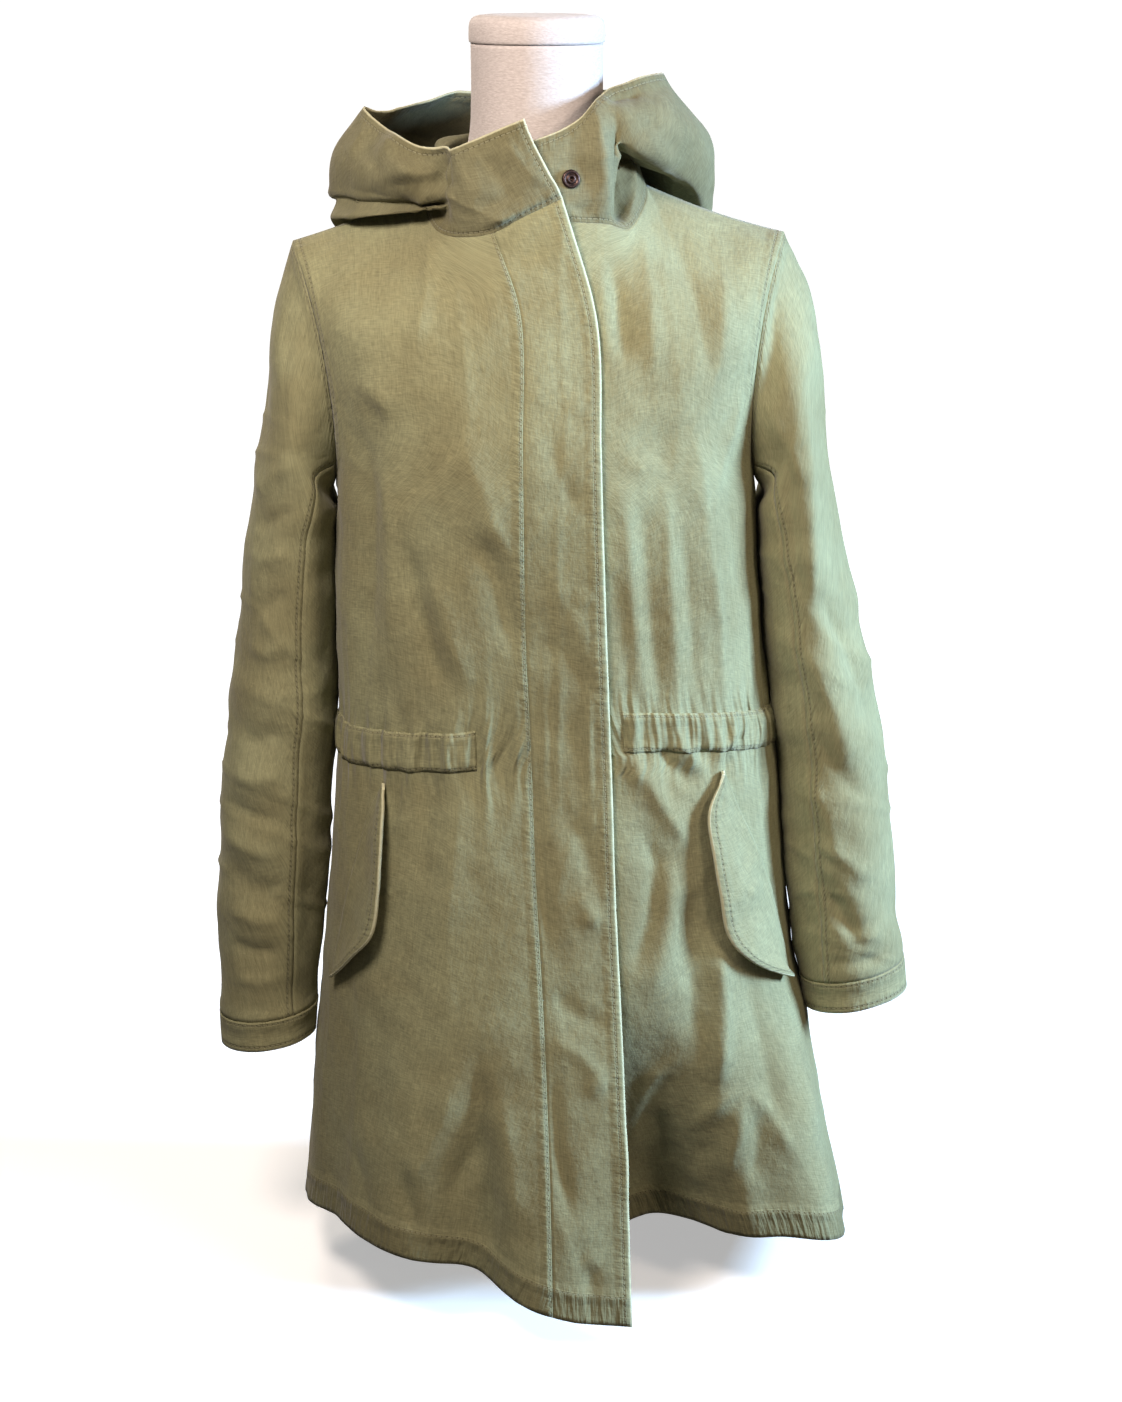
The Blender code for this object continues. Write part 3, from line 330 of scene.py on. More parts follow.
def shoulder_line(side, share):
    """The shoulder seam from the tip (0) to the neck point (1)."""
    share = np.asarray(share, float)[:, None]
    tip = sleeve_point(side, 0, 0)
    neck = neckline(side, -NECK_POINT if side == "left" else NECK_POINT)
    return tip + (neck - tip) * share - np.array([0, 0, 0.003]) * np.sin(pi * share)


def hood_point(side, angle, share):
    """The hood: rows for shares from the neckline to the free edge."""
    s = spline(HOOD_LEFT if side == "left" else HOOD_RIGHT, angle)
    seam = spline(NECK_LEFT if side == "left" else NECK_RIGHT, angle)
    radii = np.stack([seam["out"], *[s[part + "_r"] for part in HOOD_PARTS]])
    heights = np.stack([seam["z"], *[s[part + "_z"] for part in HOOD_PARTS]])
    r, z = through(radii, share), through(heights, share)
    a = np.radians(np.asarray(angle) + s["lean"] * np.asarray(share)[:, None])
    return np.stack([-np.sin(a) * r, -np.cos(a) * r, z], -1)


print("shoulder tip:", sleeve_point("left", 0, 0).round(3))

# %% [markdown]
# ## Fine grids for the panels
# A woven panel bends without stretching much, so a regular grid of small cells
# follows it well. We make each cell about 4 mm wide: small enough for creases,
# and light enough to render.

# %% Grid sizes
CELL = 1
BODY_ROWS, YOKE_ROWS = 160 // CELL, 60 // CELL
FRONT_COLUMNS, PLACKET_COLUMNS, BACK_COLUMNS = 84 // CELL, 22 // CELL, 150 // CELL
SHOULDER_SHARE = {"front": 5 / 12, "back": 5 / 20}
SLEEVE_ROWS, TOP_COLUMNS, UNDER_COLUMNS = 168 // CELL, 66 // CELL, 30 // CELL
HOOD_ROWS, HOOD_COLUMNS = 140 // CELL, 160 // CELL


def hem_z(piece, share):
    """Height of the hem along a front, or across the back."""
    hem = spline(HEM, share)
    if piece == "back":
        ends = spline(HEM, 0)
        return ends["under_z"] + (ends["over_z"] - ends["under_z"]) * share
    return hem["over_z"] if piece == "over" else hem["under_z"]


def heights(low, rises):
    """Rows of heights from the hem up to the underarm."""
    return low + (UNDERARM_Z - low) * np.asarray(rises)[:, None]


def yoke(below, guides, top, ends):
    """Rows above the underarm, through guide rows, drawn to the armholes."""
    lines = np.stack([*below, *guides, top])
    rises = np.linspace(0, 1, YOKE_ROWS + 1)
    rows = through(lines, (1 + 3 * rises) / 4)
    last = rows.shape[1] - 1
    for i, exact in ((0, ends[0]), (last, ends[1])):
        if exact is not None:
            near = 1 - np.abs(np.arange(last + 1) - i) / last
            pull = exact(180 * (1 - rises)) - rows[:, i]
            rows = rows + pull[:, None, :] * near[None, :, None] ** 4
    return rows


def blended(grid, centre, reach):
    """Evens out the rows either side of one row, where two parts of a panel meet."""
    rows = np.arange(len(grid))
    weight = np.exp(-(((rows - centre) / reach) ** 2))[:, None, None]
    soft = grid.copy()
    for _ in range(60 // CELL**2):
        soft[1:-1] += 0.45 * ((soft[:-2] + soft[2:]) / 2 - soft[1:-1])
    return grid + (soft - grid) * weight


def panel(row_at, low, guides, top, ends):
    """All rows of a panel: even ones up to the underarm, then the yoke."""
    body = row_at(heights(low, np.linspace(0, 1, BODY_ROWS + 1)))
    below = [row_at(heights(low, [14 / 15])[0]), body[-1]]
    upper = yoke(below, guides, top, ends)
    return blended(np.concatenate([body, upper[1:]]), BODY_ROWS, 14 / CELL)


print("columns across the back:", BACK_COLUMNS)

# %% [markdown]
# ## One grid for each panel
# A row of the grid runs across the panel, from seam to seam, so the columns follow
# the thread of the cloth down to the hem. Above the underarm the rows bend to meet
# the armhole, and the last row is the shoulder seam and the neckline.

# %% Grid of a front
def front_grid(piece):
    """Outer points of a front, from the side to the stitch line or hidden edge."""
    side, side_turn = ("right", 180.0) if piece == "over" else ("left", 360.0)
    shares = np.linspace(0, 1, FRONT_COLUMNS + 1)
    column = "stitch_x" if piece == "over" else "under_x"
    low = hem_z(piece, shares * (0.8 if piece == "over" else 1.0))

    def row_at(z):
        end = turn_at_x(spline(EDGES, z)[column], z)
        return body_point(piece, side_turn + (end - side_turn) * shares, z)

    def guide(angle):
        start = sleeve_point(side, angle, 0)
        z = start[2]
        first, end = turn_at_x(start[0], z), turn_at_x(spline(EDGES, z)[column], z)
        pull = start - body_point(piece, first, z)
        row = body_point(piece, first + (end - first) * shares, z)
        return row + pull * (1 - shares[:, None]) ** 2

    ends = RIGHT_NECK_ENDS if piece == "over" else LEFT_NECK_ENDS
    split = SHOULDER_SHARE["front"]
    shoulder = shares[shares <= split] / split
    neck = (shares[shares > split] - split) / (1 - split)
    top = np.concatenate([
        shoulder_line(side, shoulder), neckline(side, ends[0] + (ends[1] - ends[0]) * neck)])
    return panel(row_at, low, [guide(120), guide(60)], top, (lambda a: sleeve_point(side, a, 0), None))


print("front grid:", front_grid("over").shape)

# %% Grid of the fly
def placket_grid():
    """Outer points of the fly, from the stitch line to the front edge."""
    shares = np.linspace(0, 1, PLACKET_COLUMNS + 1)
    low = hem_z("over", 0.8 + 0.2 * shares)

    def row_at(z):
        edge = spline(EDGES, z)
        x = edge["stitch_x"] + (edge["edge_x"] - edge["stitch_x"]) * shares
        return body_point("over", turn_at_x(x, z), z)

    top = neckline("right", RIGHT_NECK_ENDS[1] + (RIGHT_NECK_ENDS[2] - RIGHT_NECK_ENDS[1]) * shares)
    guides = [row_at(np.full(len(shares), sleeve_point("right", a, 0)[2])) for a in (120, 60)]
    return panel(row_at, low, guides, top, (None, None))


print("fly grid:", placket_grid().shape)

# %% Grid of the back
def back_grid():
    """Outer points of the back, from the left side seam to the right one."""
    shares = np.linspace(0, 1, BACK_COLUMNS + 1)
    low = hem_z("back", shares)

    def row_at(z):
        return body_point("back", 180 * shares, z)

    def guide(angle):
        left, right = sleeve_point("left", 360 - angle, 0), sleeve_point("right", 360 - angle, 0)
        turns = [turn_at_x(p[0], p[2], front=False) for p in (left, right)]
        pulls = [p - body_point("back", t, p[2]) for p, t in zip((left, right), turns)]
        z = left[2] + (right[2] - left[2]) * shares
        row = body_point("back", turns[0] + (turns[1] - turns[0]) * shares, z)
        return row + pulls[0] * (1 - shares[:, None]) ** 3 + pulls[1] * shares[:, None] ** 3

    split = SHOULDER_SHARE["back"]
    left, right = shares[shares <= split] / split, (1 - shares[shares >= 1 - split]) / split
    neck = (shares[(shares > split) & (shares < 1 - split)] - split) / (1 - 2 * split)
    angles = -NECK_POINT - (360 - 2 * NECK_POINT) * neck
    seam = np.where((angles > -180)[:, None], neckline("left", np.maximum(angles, -180)),
                    neckline("right", np.minimum(angles + 360, 180)))
    top = np.concatenate([shoulder_line("left", left), seam, shoulder_line("right", right)])
    ends = (lambda a: sleeve_point("left", 360 - a, 0), lambda a: sleeve_point("right", 360 - a, 0))
    return panel(row_at, low, [guide(120), guide(60)], top, ends)


print("back grid:", back_grid().shape)

# %% Grids of the sleeves and the hood
def sleeve_grid(side, part):
    """Outer points of the top or under sleeve, with the share of the way of each."""
    share = np.linspace(0, 1, SLEEVE_ROWS + 1)[:, None]
    seam = spline(SLEEVE_SEAMS, share)
    if part == "under":
        across = np.linspace(0, 1, UNDER_COLUMNS + 1)
        angle = seam["front"] + (seam["back"] - seam["front"]) * across
    else:
        across = np.linspace(0, 1, TOP_COLUMNS + 1)
        angle = seam["back"] + (seam["front"] + 360 - seam["back"]) * across
    return sleeve_point(side, angle, share), share + 0 * angle


def hood_grid(side):
    """Outer points of half a hood, from its front edge to the seam behind."""
    start, end = (RIGHT_NECK_ENDS[2], 180) if side == "right" else (LEFT_NECK_ENDS[1], -180)
    angle = np.linspace(start, end, HOOD_COLUMNS + 1)
    return hood_point(side, angle, np.linspace(0, 1, HOOD_ROWS + 1))


print("hood grid:", hood_grid("left").shape)

# %% [markdown]
# ## Drape: the soft unevenness of worn cloth
# Cotton canvas keeps long soft ripples where it hangs, small crumples where it was
# folded, and tight little gathers where a cord draws it in. Noise with long cells
# makes the ripples; a fold that the photograph shows is drawn as a short line that
# raises or lowers the cloth round it. A cloth simulation could crumple it too, but
# it would not put each fold in its place.

# %% Noise and folds
def noise(points, seed=0):
    """Smooth value noise from -1 to 1 for an array of points."""
    base = np.floor(points).astype(np.int64)
    t = points - base
    t = t * t * (3 - 2 * t)
    total = np.zeros(points.shape[:-1])
    for corner in range(8):
        step = np.array([corner & 1, corner >> 1 & 1, corner >> 2 & 1])
        cell = base + step
        x, y, z = np.moveaxis(cell, -1, 0)
        mixed = x * 73856093 ^ y * 19349663 ^ z * 83492791 ^ (seed * 2654435 + 97)
        mixed = (mixed ^ (mixed >> 13)) * 1274126177 & 0x7FFFFFFF
        value = (mixed ^ (mixed >> 16)) % 65536 / 32767.5 - 1
        total += value * np.prod(np.where(step, t, 1 - t), axis=-1)
    return total


def creases(points, seed=0):
    """Narrow ridges in a net, from 0 between them to 1 on top of them."""
    return np.clip(1 - 3.2 * np.abs(noise(points, seed)), 0, 1) ** 2


def drawn(points, folds):
    """Height of the drawn folds at points (two columns each, in metres).

    A fold is a line of points, its half width and its height; it fades at its ends.
    """
    height = np.zeros(points.shape[:-1])
    for line, wide, rise in folds:
        line = np.array(line, float)
        best, where = np.full(points.shape[:-1], 9.0), np.zeros(points.shape[:-1])
        lengths = np.linalg.norm(np.diff(line, axis=0), axis=1)
        total, before = lengths.sum(), 0.0
        for a, b, long in zip(line, line[1:], lengths):
            t = np.clip(((points - a) @ (b - a)) / long**2, 0, 1)
            gap = np.linalg.norm(points - a - t[..., None] * (b - a), axis=-1)
            closer = gap < best
            best = np.where(closer, gap, best)
            where = np.where(closer, (before + t * long) / total, where)
            before += long
        ends = smooth(where / 0.3) * smooth((1 - where) / 0.3)
        height += rise * np.exp(-((best / wide) ** 1.5)) * ends
    return height


PHOTO_WIDE, PHOTO_TALL, SENSOR = 1122, 1402, 36


def on_photo(pixels, depth):
    """Turns places in the photograph to x and z at a depth in the scene."""
    x, y = np.array(pixels, float).T
    away, tilt = depth - CAMERA_AT[1], radians(TILT_DOWN)
    focal = PHOTO_TALL * LENS / SENSOR
    up = (PHOTO_TALL / 2 - y) / focal
    below = away * (np.sin(tilt) - up * np.cos(tilt)) / (np.cos(tilt) + up * np.sin(tilt))
    far = away * np.cos(tilt) + below * np.sin(tilt)
    return np.stack([CAMERA_AT[0] + (x - PHOTO_WIDE / 2) * far / focal, CAMERA_AT[2] - below], -1)


def lines_of(rows, place):
    """Folds from rows of half width and height in millimetres, then two numbers a place."""
    return [(place(np.reshape(way, (-1, 2))), wide / 1000, rise / 1000) for wide, rise, *way in rows]


def seen(depth, rows):
    """Folds whose places are pixels of the photograph, at a depth in the scene."""
    return lines_of(rows, lambda pixels: on_photo(pixels, depth))


print("noise sample:", noise(np.array([[0.3, 0.4, 0.5]])).round(3))

# %% [markdown]
# ## From a grid to a piece of cloth
# Real cloth has two faces and a cut edge. We make one face from the grid and let the
# Solidify modifier add the wall, so that the folds stay easy to shape. Each point
# also keeps its distance from the edges of its piece: the materials use that later
# to put stitches exactly where a machine would sew them.

# %% Normals and measures
def unit(v):
    """The same directions with a length of one."""
    return v / np.maximum(np.linalg.norm(v, axis=-1, keepdims=True), 1e-12)


def grid_normals(p, flip=False, ring=False):
    """Normals of a grid of points; flip turns them to the other side."""
    down = np.gradient(p, axis=0)
    across = (np.roll(p, -1, 1) - np.roll(p, 1, 1)) / 2 if ring else np.gradient(p, axis=1)
    return unit(np.cross(across, down)) * (-1 if flip else 1)


def lengths(p):
    """Metres along a grid from its first column, last column, first and last row."""
    across = np.cumsum(np.linalg.norm(np.diff(p, axis=1, prepend=p[:, :1]), axis=2), axis=1)
    along = np.cumsum(np.linalg.norm(np.diff(p, axis=0, prepend=p[:1]), axis=2), axis=0)
    return across, across[:, -1:] - across, along, along[-1:] - along


def placed(name, points, faces, material, smooth_shading=True):
    """An object from points and faces, in the scene, with its material."""
    mesh = bpy.data.meshes.new(name)
    mesh.from_pydata(points, [], faces)
    mesh.polygons.foreach_set("use_smooth", [smooth_shading] * len(mesh.polygons))
    mesh.materials.append(material)
    made = bpy.data.objects.new(name, mesh)
    bpy.context.scene.collection.objects.link(made)
    return made


print("normals, measures and objects ready")

# %% Cloth
def quads(rows, cols, flip=False, ring=False):
    """Faces between the points of a grid; a ring closes from its last column."""
    index = np.arange(rows * cols).reshape(rows, cols)
    if ring:
        index = np.concatenate([index, index[:, :1]], axis=1)
    corners = [index[:-1, :-1], index[:-1, 1:], index[1:, 1:], index[1:, :-1]]
    if flip:
        corners = [corners[i] for i in (0, 3, 2, 1)]
    return np.stack(corners, -1).reshape(-1, 4)


def cloth(name, points, thick, material, flip=False, ring=False,
          held="hung", waist=9.0):
    """A piece of cloth from its grid: a mesh, its measures, its wall and its place.

    waist is each point's distance from the casing; 9 m means that no tucks reach it.
    """
    rows, cols = points.shape[:2]
    across, from_right, along, from_top = lengths(points)
    if held == "gathered":      # a straight strip before its cord was drawn
        middle = rows // 2
        across, from_right = across[middle] + 0 * across, from_right[middle] + 0 * across
    faces = quads(rows, cols, flip, ring)
    made = placed(f"{name}_cloth", points.reshape(-1, 3).tolist(), faces.tolist(), material)
    for label, first, second in (("across", across, from_right), ("along", along, from_top)):
        layer = made.data.attributes.new(label, "FLOAT_VECTOR", "POINT")
        values = np.stack([first, second, waist + 0 * first], -1).astype(np.float32)
        layer.data.foreach_set("vector", values.ravel())
    uv = made.data.uv_layers.new(name="cloth")
    flat_uv = np.stack([across.ravel(), along.ravel()], 1)[faces.ravel()]
    uv.data.foreach_set("uv", flat_uv.astype(np.float32).ravel())
    wall = made.modifiers.new("wall", "SOLIDIFY")
    wall.thickness, wall.offset = thick, -1.0
    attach(made, "root")
    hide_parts(name)
    wide, tall = float(across[:, -1].max()), float(along[-1].max())
    to_right, to_next = points[:-1, 1:] - points[:-1, :-1], points[1:, :-1] - points[:-1, :-1]
    area = float(np.linalg.norm(np.cross(to_right, to_next), axis=2).sum())
    print(name, "cut", round(wide, 3), "x", round(tall, 3), "m")
    return made


print("faces of a small ring:", len(quads(3, 8, ring=True)))

# %% [markdown]
# ## One way to add a node
# A material is a small network. One helper adds a node, sets its properties, and
# either links or sets each of its inputs, so every material below reads like a list.

# %% Material helpers
def colour(code):
    """A linear colour from an sRGB hex code."""
    parts = [int(code[i:i + 2], 16) / 255 for i in (1, 3, 5)]
    return (*[p / 12.92 if p <= 0.04045 else ((p + 0.055) / 1.055) ** 2.4 for p in parts], 1.0)


def add(tree, kind, inputs=None, **settings):
    """Adds a node with its settings; an input is a value, or a node or socket to link."""
    made = tree.nodes.new("ShaderNode" + kind)
    for key, value in settings.items():
        setattr(made, key, value)
    for key, value in (inputs or {}).items():
        if isinstance(value, bpy.types.Node):
            value = next(socket for socket in value.outputs if socket.enabled)
        if isinstance(value, bpy.types.NodeSocket):
            tree.links.new(value, made.inputs[key])
        else:
            made.inputs[key].default_value = value
    return made


def new_material(name):
    """An empty material and its network."""
    made = bpy.data.materials.new(name)
    made.use_nodes = True
    made.node_tree.nodes.clear()
    return made, made.node_tree


def surfaced(tree, sockets):
    """Ends a network with its shader; each socket is linked or set."""
    add(tree, "OutputMaterial", {"Surface": add(tree, "BsdfPrincipled", sockets)})


print("olive in linear light:", [round(v, 3) for v in colour("#8A8560")])

# %% [markdown]
# ## Washed cotton canvas
# The cloth is a close plain-woven cotton, dyed olive, sewn and then washed. Washing
# leaves it matt and paler on folded edges, where it is worn and also given a painted
# highlight; the dark seam lines and the darker hem are painted shade. A photograph of
# canvas would be quick, but it repeats and can't follow our seams, so we build it: thin
# bright and dark streaks both ways for the threads, broad stains of the dye, and rows of
# stitches placed by the distances that cloth() kept.

# %% Sizes and colours of the canvas
# The pale colour serves stitch thread and worn edges, and the edges are also a painted highlight; SHADE is
# painted shade for seam lines and the hem
CANVAS, CANVAS_DEEP, PALE_WEAR_AND_HIGHLIGHT, SHADE = "#8F906F", "#848160", "#CFCEAC", "#4A4528"
# The hood's colours are the same canvas painted darker: painted shade, as the hood lies in shadow
HOOD_CANVAS_SHADED, HOOD_CANVAS_DEEP_SHADED = "#78765A", "#686346"
THREAD_MM, THREAD_RUN_MM = 1.2, 9    # real threads lie 0.5 mm apart: drawn coarser, to show
STREAK_MM, STREAK_RUN_MM = 3.5, 90   # thicker yarns here and there
STITCH_MM = 4.5                      # real stitches are 3 mm long: drawn longer, to show
PUCKER_MM, PUCKER_REACH_MM = 6.0, 22
TUCK_MM, TUCK_RUN_MM = 9.0, 70       # tucks that the waist cord draws in
ROPE_MM, ROPE_RUN_MM = 5, 34         # the ropy twist of a washed hem
STAIN_MM, CRUMPLE_MM = 111, 29.4
HEM_TALL = 0.0245


def strip(tree, measure, middle, core, fade):
    """1 within core of a line at a measure, 0 beyond fade, and soft between."""
    off = add(tree, "Math", {0: measure, 1: middle}, operation="SUBTRACT")
    gap = add(tree, "Math", {0: off}, operation="ABSOLUTE")
    return add(tree, "MapRange", {0: gap, 1: core, 2: fade, 3: 1.0, 4: 0.0},
               interpolation_type="SMOOTHSTEP")


def woven(tree, across_mm, along_mm, detail=2.0):
    """Uneven spots of a real size across and along the cloth."""
    uv = add(tree, "UVMap", uv_map="cloth")
    size = (1000 / across_mm, 1000 / along_mm, 1)
    scaled = add(tree, "Mapping", {"Vector": uv, "Scale": size})
    return add(tree, "TexNoise", {"Vector": scaled, "Scale": 1.0, "Detail": detail})


print("threads drawn every", THREAD_MM, "mm")

# %% [markdown]
# ## Stitches, hem and tucks
# A machine seam shows as a sunk line, pale threads in it and small puckers beside it;
# the sunk line and the turned-up hem are darkened with painted shade. Each function gives
# two lists: what lifts the cloth, in millimetres, and what tints it, with how strongly.
# canvas() below lays all of them on in turn.

# %% Seams, hem and tucks
def seam(tree, measures, label, which, inset):
    """A row of stitches, a distance in from one edge."""
    place = measures[label][which]
    along = measures["along" if label == "across" else "across"][0]
    run = add(tree, "Math", {0: along, 1: 1000 / STITCH_MM}, operation="MULTIPLY")
    step = add(tree, "Math", {0: run}, operation="FRACT")
    line = strip(tree, place, inset, 0.0003, 0.0009)
    thread = add(tree, "Math", {0: line, 1: strip(tree, step, 0, 0.70, 0.85)}, operation="MULTIPLY")
    sunk = strip(tree, place, inset, 0.0003, 0.0013)
    size = (PUCKER_REACH_MM, PUCKER_MM) if label == "across" else (PUCKER_MM, PUCKER_REACH_MM)
    beside = strip(tree, place, inset, 0.0015, 0.0090)
    puckers = add(tree, "Math", {0: beside, 1: woven(tree, *size)}, operation="MULTIPLY")
    # The sunk line is darkened with painted shade; the thread is pale
    return [(puckers, 1.7), (sunk, -0.6), (thread, 0.5)], [(sunk, 0.55, SHADE), (thread, 0.20, PALE_WEAR_AND_HIGHLIGHT)]


def hem_band(tree, measures):
    """The turned-up hem: ropy, and a little darker with painted shade."""
    band = strip(tree, measures["along"][0], 0, HEM_TALL - 0.002, HEM_TALL + 0.002)
    ropes = add(tree, "Math", {0: band, 1: woven(tree, ROPE_MM, ROPE_RUN_MM)}, operation="MULTIPLY")
    return [(ropes, 3.6)], [(band, 0.26, SHADE)]


def tucks(tree, measures):
    """Upright tucks that fade away above and below the waist."""
    reach = strip(tree, measures["across"][2], 0, 0.004, 0.055)
    uneven = woven(tree, TUCK_MM, TUCK_RUN_MM, 1.0)
    even = add(tree, "Math", {0: uneven, 1: 0.5}, operation="SUBTRACT")
    return add(tree, "Math", {0: reach, 1: even}, operation="MULTIPLY")


print("stitches", STITCH_MM, "mm long, hem", HEM_TALL, "m tall")

# %% [markdown]
# ## The canvas itself
# Cotton scatters light in its loose fibres. A roughness near 0.9 keeps it dull, a
# little sheen gives the soft pale rim of a hairy cloth, and a low specular stops it
# from shining like nylon. The bump is one height in millimetres, summed from all.

# %% Canvas
def canvas(piece, seams=(), edges=(), hem=False, gathers=False, pale=CANVAS, deep=CANVAS_DEEP):
    """Canvas for a piece: seams are (measure, side, inset), edges (measure, side)."""
    made, tree = new_material("washed cotton canvas, " + piece)
    measures = {}
    for label in ("across", "along"):
        read = add(tree, "Attribute", attribute_name=label)
        measures[label] = add(tree, "SeparateXYZ", {0: read.outputs["Vector"]}).outputs
    place = add(tree, "TexCoord").outputs["Object"]
    stain, crumple = (
        add(tree, "TexNoise", {"Vector": place, "Scale": 1000 / size, "Detail": detail, "Roughness": 0.6})
        for size, detail in ((STAIN_MM, 6.0), (CRUMPLE_MM, 5.0))
    )
    warp, weft = woven(tree, THREAD_MM, THREAD_RUN_MM), woven(tree, THREAD_RUN_MM, THREAD_MM)
    threads = add(tree, "Math", {0: warp, 1: weft}, operation="ADD")

    lifts, tints_and_painted_light = [(crumple, 2.4), (threads, 0.08)], []
    if gathers:
        lifts.append((tucks(tree, measures), 9.0))
    parts = [seam(tree, measures, *row) for row in seams]
    if hem:
        parts.append(hem_band(tree, measures))
    for lifted, tints_with_painted_shade in parts:
        lifts, tints_and_painted_light = lifts + lifted, tints_and_painted_light + tints_with_painted_shade
    # Free edges get a pale rim: partly wear, partly a painted highlight where the rolled edge catches the
    # light
    for label, which in edges:
        inward = {0: crumple, 1: 0.0016, 2: measures[label][which]}
        ragged = add(tree, "Math", inward, operation="MULTIPLY_ADD")
        tints_and_painted_light.append((strip(tree, ragged, 0, 0.0014, 0.0028), 0.75, PALE_WEAR_AND_HIGHLIGHT))

    share = add(tree, "MapRange", {0: stain, 1: 0.34, 2: 0.68}, interpolation_type="SMOOTHSTEP")
    tint = add(tree, "Mix", {0: share, 6: colour(pale), 7: colour(deep)}, data_type="RGBA")
    streaks = woven(tree, STREAK_MM, STREAK_RUN_MM)
    for uneven, strength, least in ((threads, 0.65, 0.35), (streaks, 0.30, 0.85)):
        dimmed = add(tree, "Math", {0: uneven, 1: strength, 2: least}, operation="MULTIPLY_ADD")
        tint = add(tree, "Mix", {0: 1.0, 6: tint, 7: dimmed}, data_type="RGBA", blend_type="MULTIPLY")
    # Lays on pale thread, painted shade in seams and over the hem, and the worn edges with their painted
    # highlight
    for where, strength, code in tints_and_painted_light:
        much = add(tree, "Math", {0: where, 1: strength}, operation="MULTIPLY")
        tint = add(tree, "Mix", {0: much, 6: tint, 7: colour(code)}, data_type="RGBA")
    height = 0.0
    for where, millimetres in lifts:
        height = add(tree, "Math", {0: where, 1: millimetres, 2: height}, operation="MULTIPLY_ADD")
    bump = add(tree, "Bump", {"Height": height, "Strength": 1.0, "Distance": 0.001})
    surfaced(tree, {
        "Base Color": tint, "Normal": bump, "Roughness": 0.88, "Specular IOR Level": 0.25,
        "Sheen Weight": 0.12, "Sheen Roughness": 0.5,
    })
    return made


# %% The canvas of each piece
HEM_ROW = ("along", 0, 0.024)
SIDE, OTHER_SIDE = ("across", 0, 0.006), ("across", 1, 0.006)
CUFFWARD, TOP_STITCHED = ("along", 0, 0.003), ("along", 1, 0.003)
canvas_over = canvas("right front", [HEM_ROW, ("across", 1, 0.002), SIDE], hem=True, gathers=True)
canvas_under = canvas("left front", [HEM_ROW, SIDE], hem=True, gathers=True)
canvas_fly = canvas("fly", [HEM_ROW, OTHER_SIDE], [("across", 1)], hem=True)
canvas_back = canvas("back", [HEM_ROW, SIDE, OTHER_SIDE], hem=True, gathers=True)
canvas_sleeve_top = canvas("top sleeve", [("across", 0, 0.005), ("across", 1, 0.005), CUFFWARD])
canvas_sleeve_under = canvas("under sleeve", [CUFFWARD])
canvas_cuff = canvas("cuff", [CUFFWARD, ("along", 1, 0.004)], [("along", 1)])
# The hood's canvas is painted darker than the body's: painted shade
canvas_hood_shaded = canvas(
    "hood", [CUFFWARD, ("along", 1, 0.006), ("across", 0, 0.005), ("across", 1, 0.004)],
    [("along", 1), ("across", 0)], pale=HOOD_CANVAS_SHADED, deep=HOOD_CANVAS_DEEP_SHADED)
canvas_casing = canvas("waist casing", [CUFFWARD, TOP_STITCHED], gathers=True)
canvas_flap = canvas("pocket flap", [("across", 1, 0.007)], [("across", 1), ("along", 0), ("along", 1)])
print("canvas materials:", len(bpy.data.materials))

# %% [markdown]
# ## Body panels
# The fronts, the fly and the back hang from the shoulders and are drawn in at the
# waist. All four take their ripples from one function of the place in space, so a
# ripple runs on across a seam. Where a panel is sewn its folds fade out.

# %% Folds seen in the photograph
def studs_below(points, middles, radius=0.0065, rise=0.0012):
    """The round marks that snaps leave in the cloth over them."""
    height = np.zeros(points.shape[:-1])
    for x, z in middles:
        gap = np.hypot(points[..., 0] - x, points[..., 2] - z)
        height += rise * (1 - smooth((gap - radius * 0.7) / (radius * 0.7)))
    return height


FRONT_Y, CHEST_Y, ARM_Y = -0.140, -0.135, -0.045    # depths at which the folds lie
HIDDEN_SNAPS = on_photo(
    [(576, 405), (583, 600), (590, 825), (591, 915), (596, 1075), (590, 1235)], FRONT_Y)
FLAP_SNAP = on_photo([(754, 909)], FRONT_Y)

WAIST = table("turn z", [
    (-90, 520), (-50, 510), (0, 494.5), (90, 496), (180, 487), (240, 497), (270, 508),
])
CHEST_FOLDS = seen(CHEST_Y, [
    (10, -4.5, 356, 420, 366, 500, 364, 600, 356, 720), (9, 3, 378, 440, 390, 560, 388, 700),
    (8, -3.5, 404, 540, 418, 610, 446, 705), (10, 2.5, 425, 560, 450, 640, 470, 700),
    (10, -3.5, 470, 520, 497, 580, 517, 665), (13, 2.5, 455, 420, 485, 500, 510, 570),
    (8, 2.5, 430, 235, 424, 300, 412, 360), (9, 2.5, 345, 385, 372, 400, 400, 420),
    (8, -2, 545, 420, 560, 470, 580, 520), (9, -2.2, 528, 640, 565, 655, 596, 705),
    (9, 2, 545, 560, 575, 620, 600, 690), (10, -2.2, 470, 245, 520, 262, 560, 250),
    (8, -5, 612, 250, 619, 300, 627, 380), (7, 2.5, 600, 250, 606, 310, 612, 380),
    (10, 4.5, 642, 225, 652, 300, 657, 400), (9, -3, 676, 225, 700, 300, 716, 400),
    (10, 3, 735, 270, 728, 330, 722, 400), (14, -3, 655, 410, 670, 500, 672, 600),
    (9, 4.5, 690, 400, 702, 480, 712, 580, 730, 690), (7, -3.5, 735, 440, 738, 540, 752, 640),
    (6, 3.5, 622, 470, 632, 600, 648, 735), (7, -3.5, 640, 480, 650, 610, 664, 735),
    (6, 3.5, 664, 450, 672, 600, 680, 735), (6, -3, 684, 520, 694, 640, 700, 735),
    (5, 3.5, 716, 512, 736, 450, 752, 392), (5, 3, 712, 560, 722, 640, 728, 735),
    (5, 1.2, 618, 462, 645, 470, 675, 480), (9, -2, 612, 560, 622, 640, 630, 720),
])
